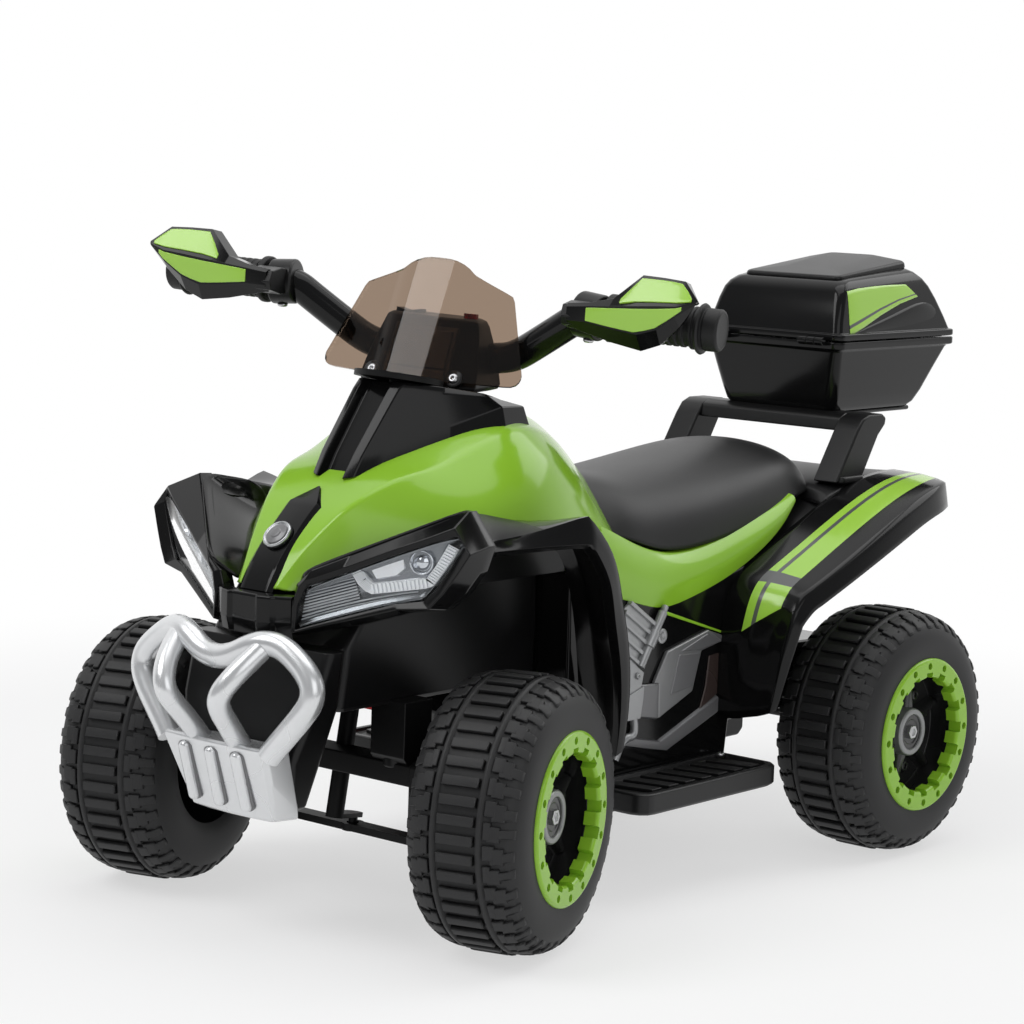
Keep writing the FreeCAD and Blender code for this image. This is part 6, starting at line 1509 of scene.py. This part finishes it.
# tyres: turned carcass, ladder bars in the middle, guide rings, stepped shoulder blocks, smooth side wall
tyreSet = {
    "profile": ((-36.5, 48.5), (-38, 52), (-39.4, 57), (-39.9, 64), (-39.2, 71), (-37.2, 77), (-34, 81.4),
                (-29, 84.2), (-22, 85.8), (-17.4, 86.2), (-17, 88.4), (-14.2, 88.6), (-13.8, 86.4),
                (0, 86.6), (13.8, 86.4), (14.2, 88.6), (17, 88.4), (17.4, 86.2), (22, 85.8), (29, 84.2),
                (34, 81.4), (37.2, 77), (39.2, 71), (39.9, 64), (39.4, 57), (38, 52), (36.5, 48.5)),
    "bore": ((34, 49), (30, 55), (-30, 55), (-34, 49)),
    "bars": {"count": 46, "half": 12.6, "thick": 6.6, "reach": 88.0, "draw": 6,
             "levels": ((85.6, 1.0), (89.2, 0.94), (89.9, 0.84))},
    "shoulder": 17.4,
    "blocks": {"pitches": 20, "lift": 2.5, "drop": 0.22, "reach": 86.0, "root": -1.2, "edge": 0.5,
               "insets": (0.0, 0.25, 0.8),
               "cells": ((18.4, 26.0, 0.04, 0.40), (23.0, 31.5, 0.10, 0.50), (29.0, 36.6, 0.20, 0.46),
                         (18.4, 23.5, 0.52, 0.93), (21.0, 29.0, 0.60, 0.97), (27.0, 36.8, 0.66, 0.90))},
}


def tyreRadius(a):
    return between([pair for pair in tyreSet["profile"] if pair[0] >= tyreSet["shoulder"]], a)


def treadBar(k):
    bars = tyreSet["bars"]
    mid = 2 * math.pi * k / bars["count"]
    rows = []
    for radius, trim in bars["levels"]:
        a = bars["half"] - (1.0 - trim) * bars["draw"]
        w = bars["thick"] / 2 / bars["reach"] * trim
        corners = ((-a, -w), (a, -w), (a, w), (-a, w))
        rows.append([polar(along, radius, mid + turn) for along, turn in corners])
    return gridMesh(rows, loop=True, caps=True)


# one shoulder block: cell is its width and its share of the pitch; the far hand is half a pitch on
def treadBlock(k, hand, number):
    blocks = tyreSet["blocks"]
    low, high, first, last = blocks["cells"][number]
    shift = 0.0 if hand > 0 else 0.5
    start = 2 * math.pi * (k + first + shift) / blocks["pitches"]
    stop = 2 * math.pi * (k + last + shift) / blocks["pitches"]
    lift = blocks["lift"] - blocks["drop"] * (number % 3)
    rows = []
    for rise, inset in zip((blocks["root"], lift - blocks["edge"], lift), blocks["insets"]):
        spin = inset / blocks["reach"]
        across = (low + inset, (low + high) / 2, high - inset)
        ring = [polar(hand * a, tyreRadius(a) + rise, start + spin) for a in across]
        ring += [polar(hand * a, tyreRadius(a) + rise, stop - spin) for a in reversed(across)]
        rows.append(ring)
    return gridMesh(rows, loop=True, caps=True)


def tyreMesh():
    blocks = tyreSet["blocks"]
    parts = [turnedMesh(tyreSet["profile"] + tyreSet["bore"], 96, closed=True)]
    parts += [treadBar(k) for k in range(tyreSet["bars"]["count"])]
    for k in range(blocks["pitches"]):
        for hand in (1, -1):
            parts += [treadBlock(k, hand, number) for number in range(len(blocks["cells"]))]
    return joinMesh(parts)


# hubs: dish, cap, six roof-shaped spokes with bosses between, centre cup and bolt
hubSet = {
    "dish": ((6, 13), (14.5, 13), (14.5, 46.4), (17, 47.4), (30.4, 47.8), (31, 48.4), (31, 54.5), (27, 54.5),
             (26, 50), (8, 49), (6, 46)),
    "cup": ((14, 12.8), (28.2, 12.8), (29.2, 13.4), (29.2, 16.6), (28.2, 17.6), (14, 19)),
    "cap": ((20, 12.9), (27.6, 12.9), (27.6, 9.4), (26.9, 8.8), (26.9, 0.05)),
    "bolt": ((26.6, 5.6), (29.4, 5.5), (30.2, 4.8), (30.2, 3.0), (28.8, 2.7), (28.8, 0.05)), "spokes": 6,
    "firstSpoke": 0.35, "spoke": ((17, 9.0, 24.5), (30, 6.6, 22.6), (46.6, 4.6, 20.4)), "base": 14.2,
    "roof": ((-0.62, 2.5), (-0.3, 0.0), (0.3, 0.0), (0.62, 2.5)),
    "boss": {"reach": 31,
             "profile": ((14, 4.4), (17.2, 4.2), (17.8, 3.4), (17.8, 1.8), (15.6, 1.6), (15.6, 0.05))},
}


def spokeMesh(angle):
    rows = []
    for reach, wide, high in hubSet["spoke"]:
        roof = [(share, high - drop) for share, drop in hubSet["roof"]]
        ring = []
        for share, level in [(-1.0, hubSet["base"]), *roof, (1.0, hubSet["base"])]:
            aside = wide * share
            ring.append((level, reach * math.cos(angle) - aside * math.sin(angle),
                         reach * math.sin(angle) + aside * math.cos(angle)))
        rows.append(ring)
    return gridMesh(rows, loop=True, caps=True)


def hubMesh():
    parts = [turnedMesh(hubSet["dish"], 72, closed=True), turnedMesh(hubSet["cap"], 48)]
    boss = hubSet["boss"]
    for k in range(hubSet["spokes"]):
        angle = 2 * math.pi * k / hubSet["spokes"] + hubSet["firstSpoke"]
        parts.append(spokeMesh(angle))
        spot = polar(0, boss["reach"], angle + math.pi / hubSet["spokes"])
        parts.append(turnedMesh(boss["profile"], 18, spot))
    return joinMesh(parts)


for tag, side in (("front_left", 1), ("front_right", -1), ("rear_left", 1), ("rear_right", -1)):
    joint = joints[tag + "_spin"]
    axis = Vector(joint["axis"]).normalized()
    if axis.x * side < 0:
        axis = -axis
    turn = Vector((side, 0, 0)).rotation_difference(axis)
    if side < 0:
        turn = turn @ Matrix.Rotation(math.pi, 4, "Z").to_quaternion()
    place = Matrix.Translation(Vector(joint["pos_m"]) - home) @ turn.to_matrix().to_4x4()
    body = "wheel_" + tag
    hubNode = ("wheel_hub_" + tag,)
    tyre = tyreMesh()
    tyre.transform(place)
    addPiece("tyreTread_" + tag, tyre, "tyreMould", body=body, swaps=("tyre_" + tag,), angle=60.0)
    hub = hubMesh()
    hub.transform(place)
    addPiece("hubStar_" + tag, hub, "hubBlack", body=body, swaps=hubNode, bevel=0.5, angle=24.0)
    for kind, look, steps in (("cup", "caseGrey", 48), ("bolt", "axleSteel", 6)):
        extra = turnedMesh(hubSet[kind], steps, closed=kind == "cup")
        extra.transform(place)
        name = "hub" + kind.capitalize() + "_" + tag
        addPiece(name, extra, look, body=body, swaps=hubNode, bevel=0.4, angle=24.0)
print("tyres and hubs made")
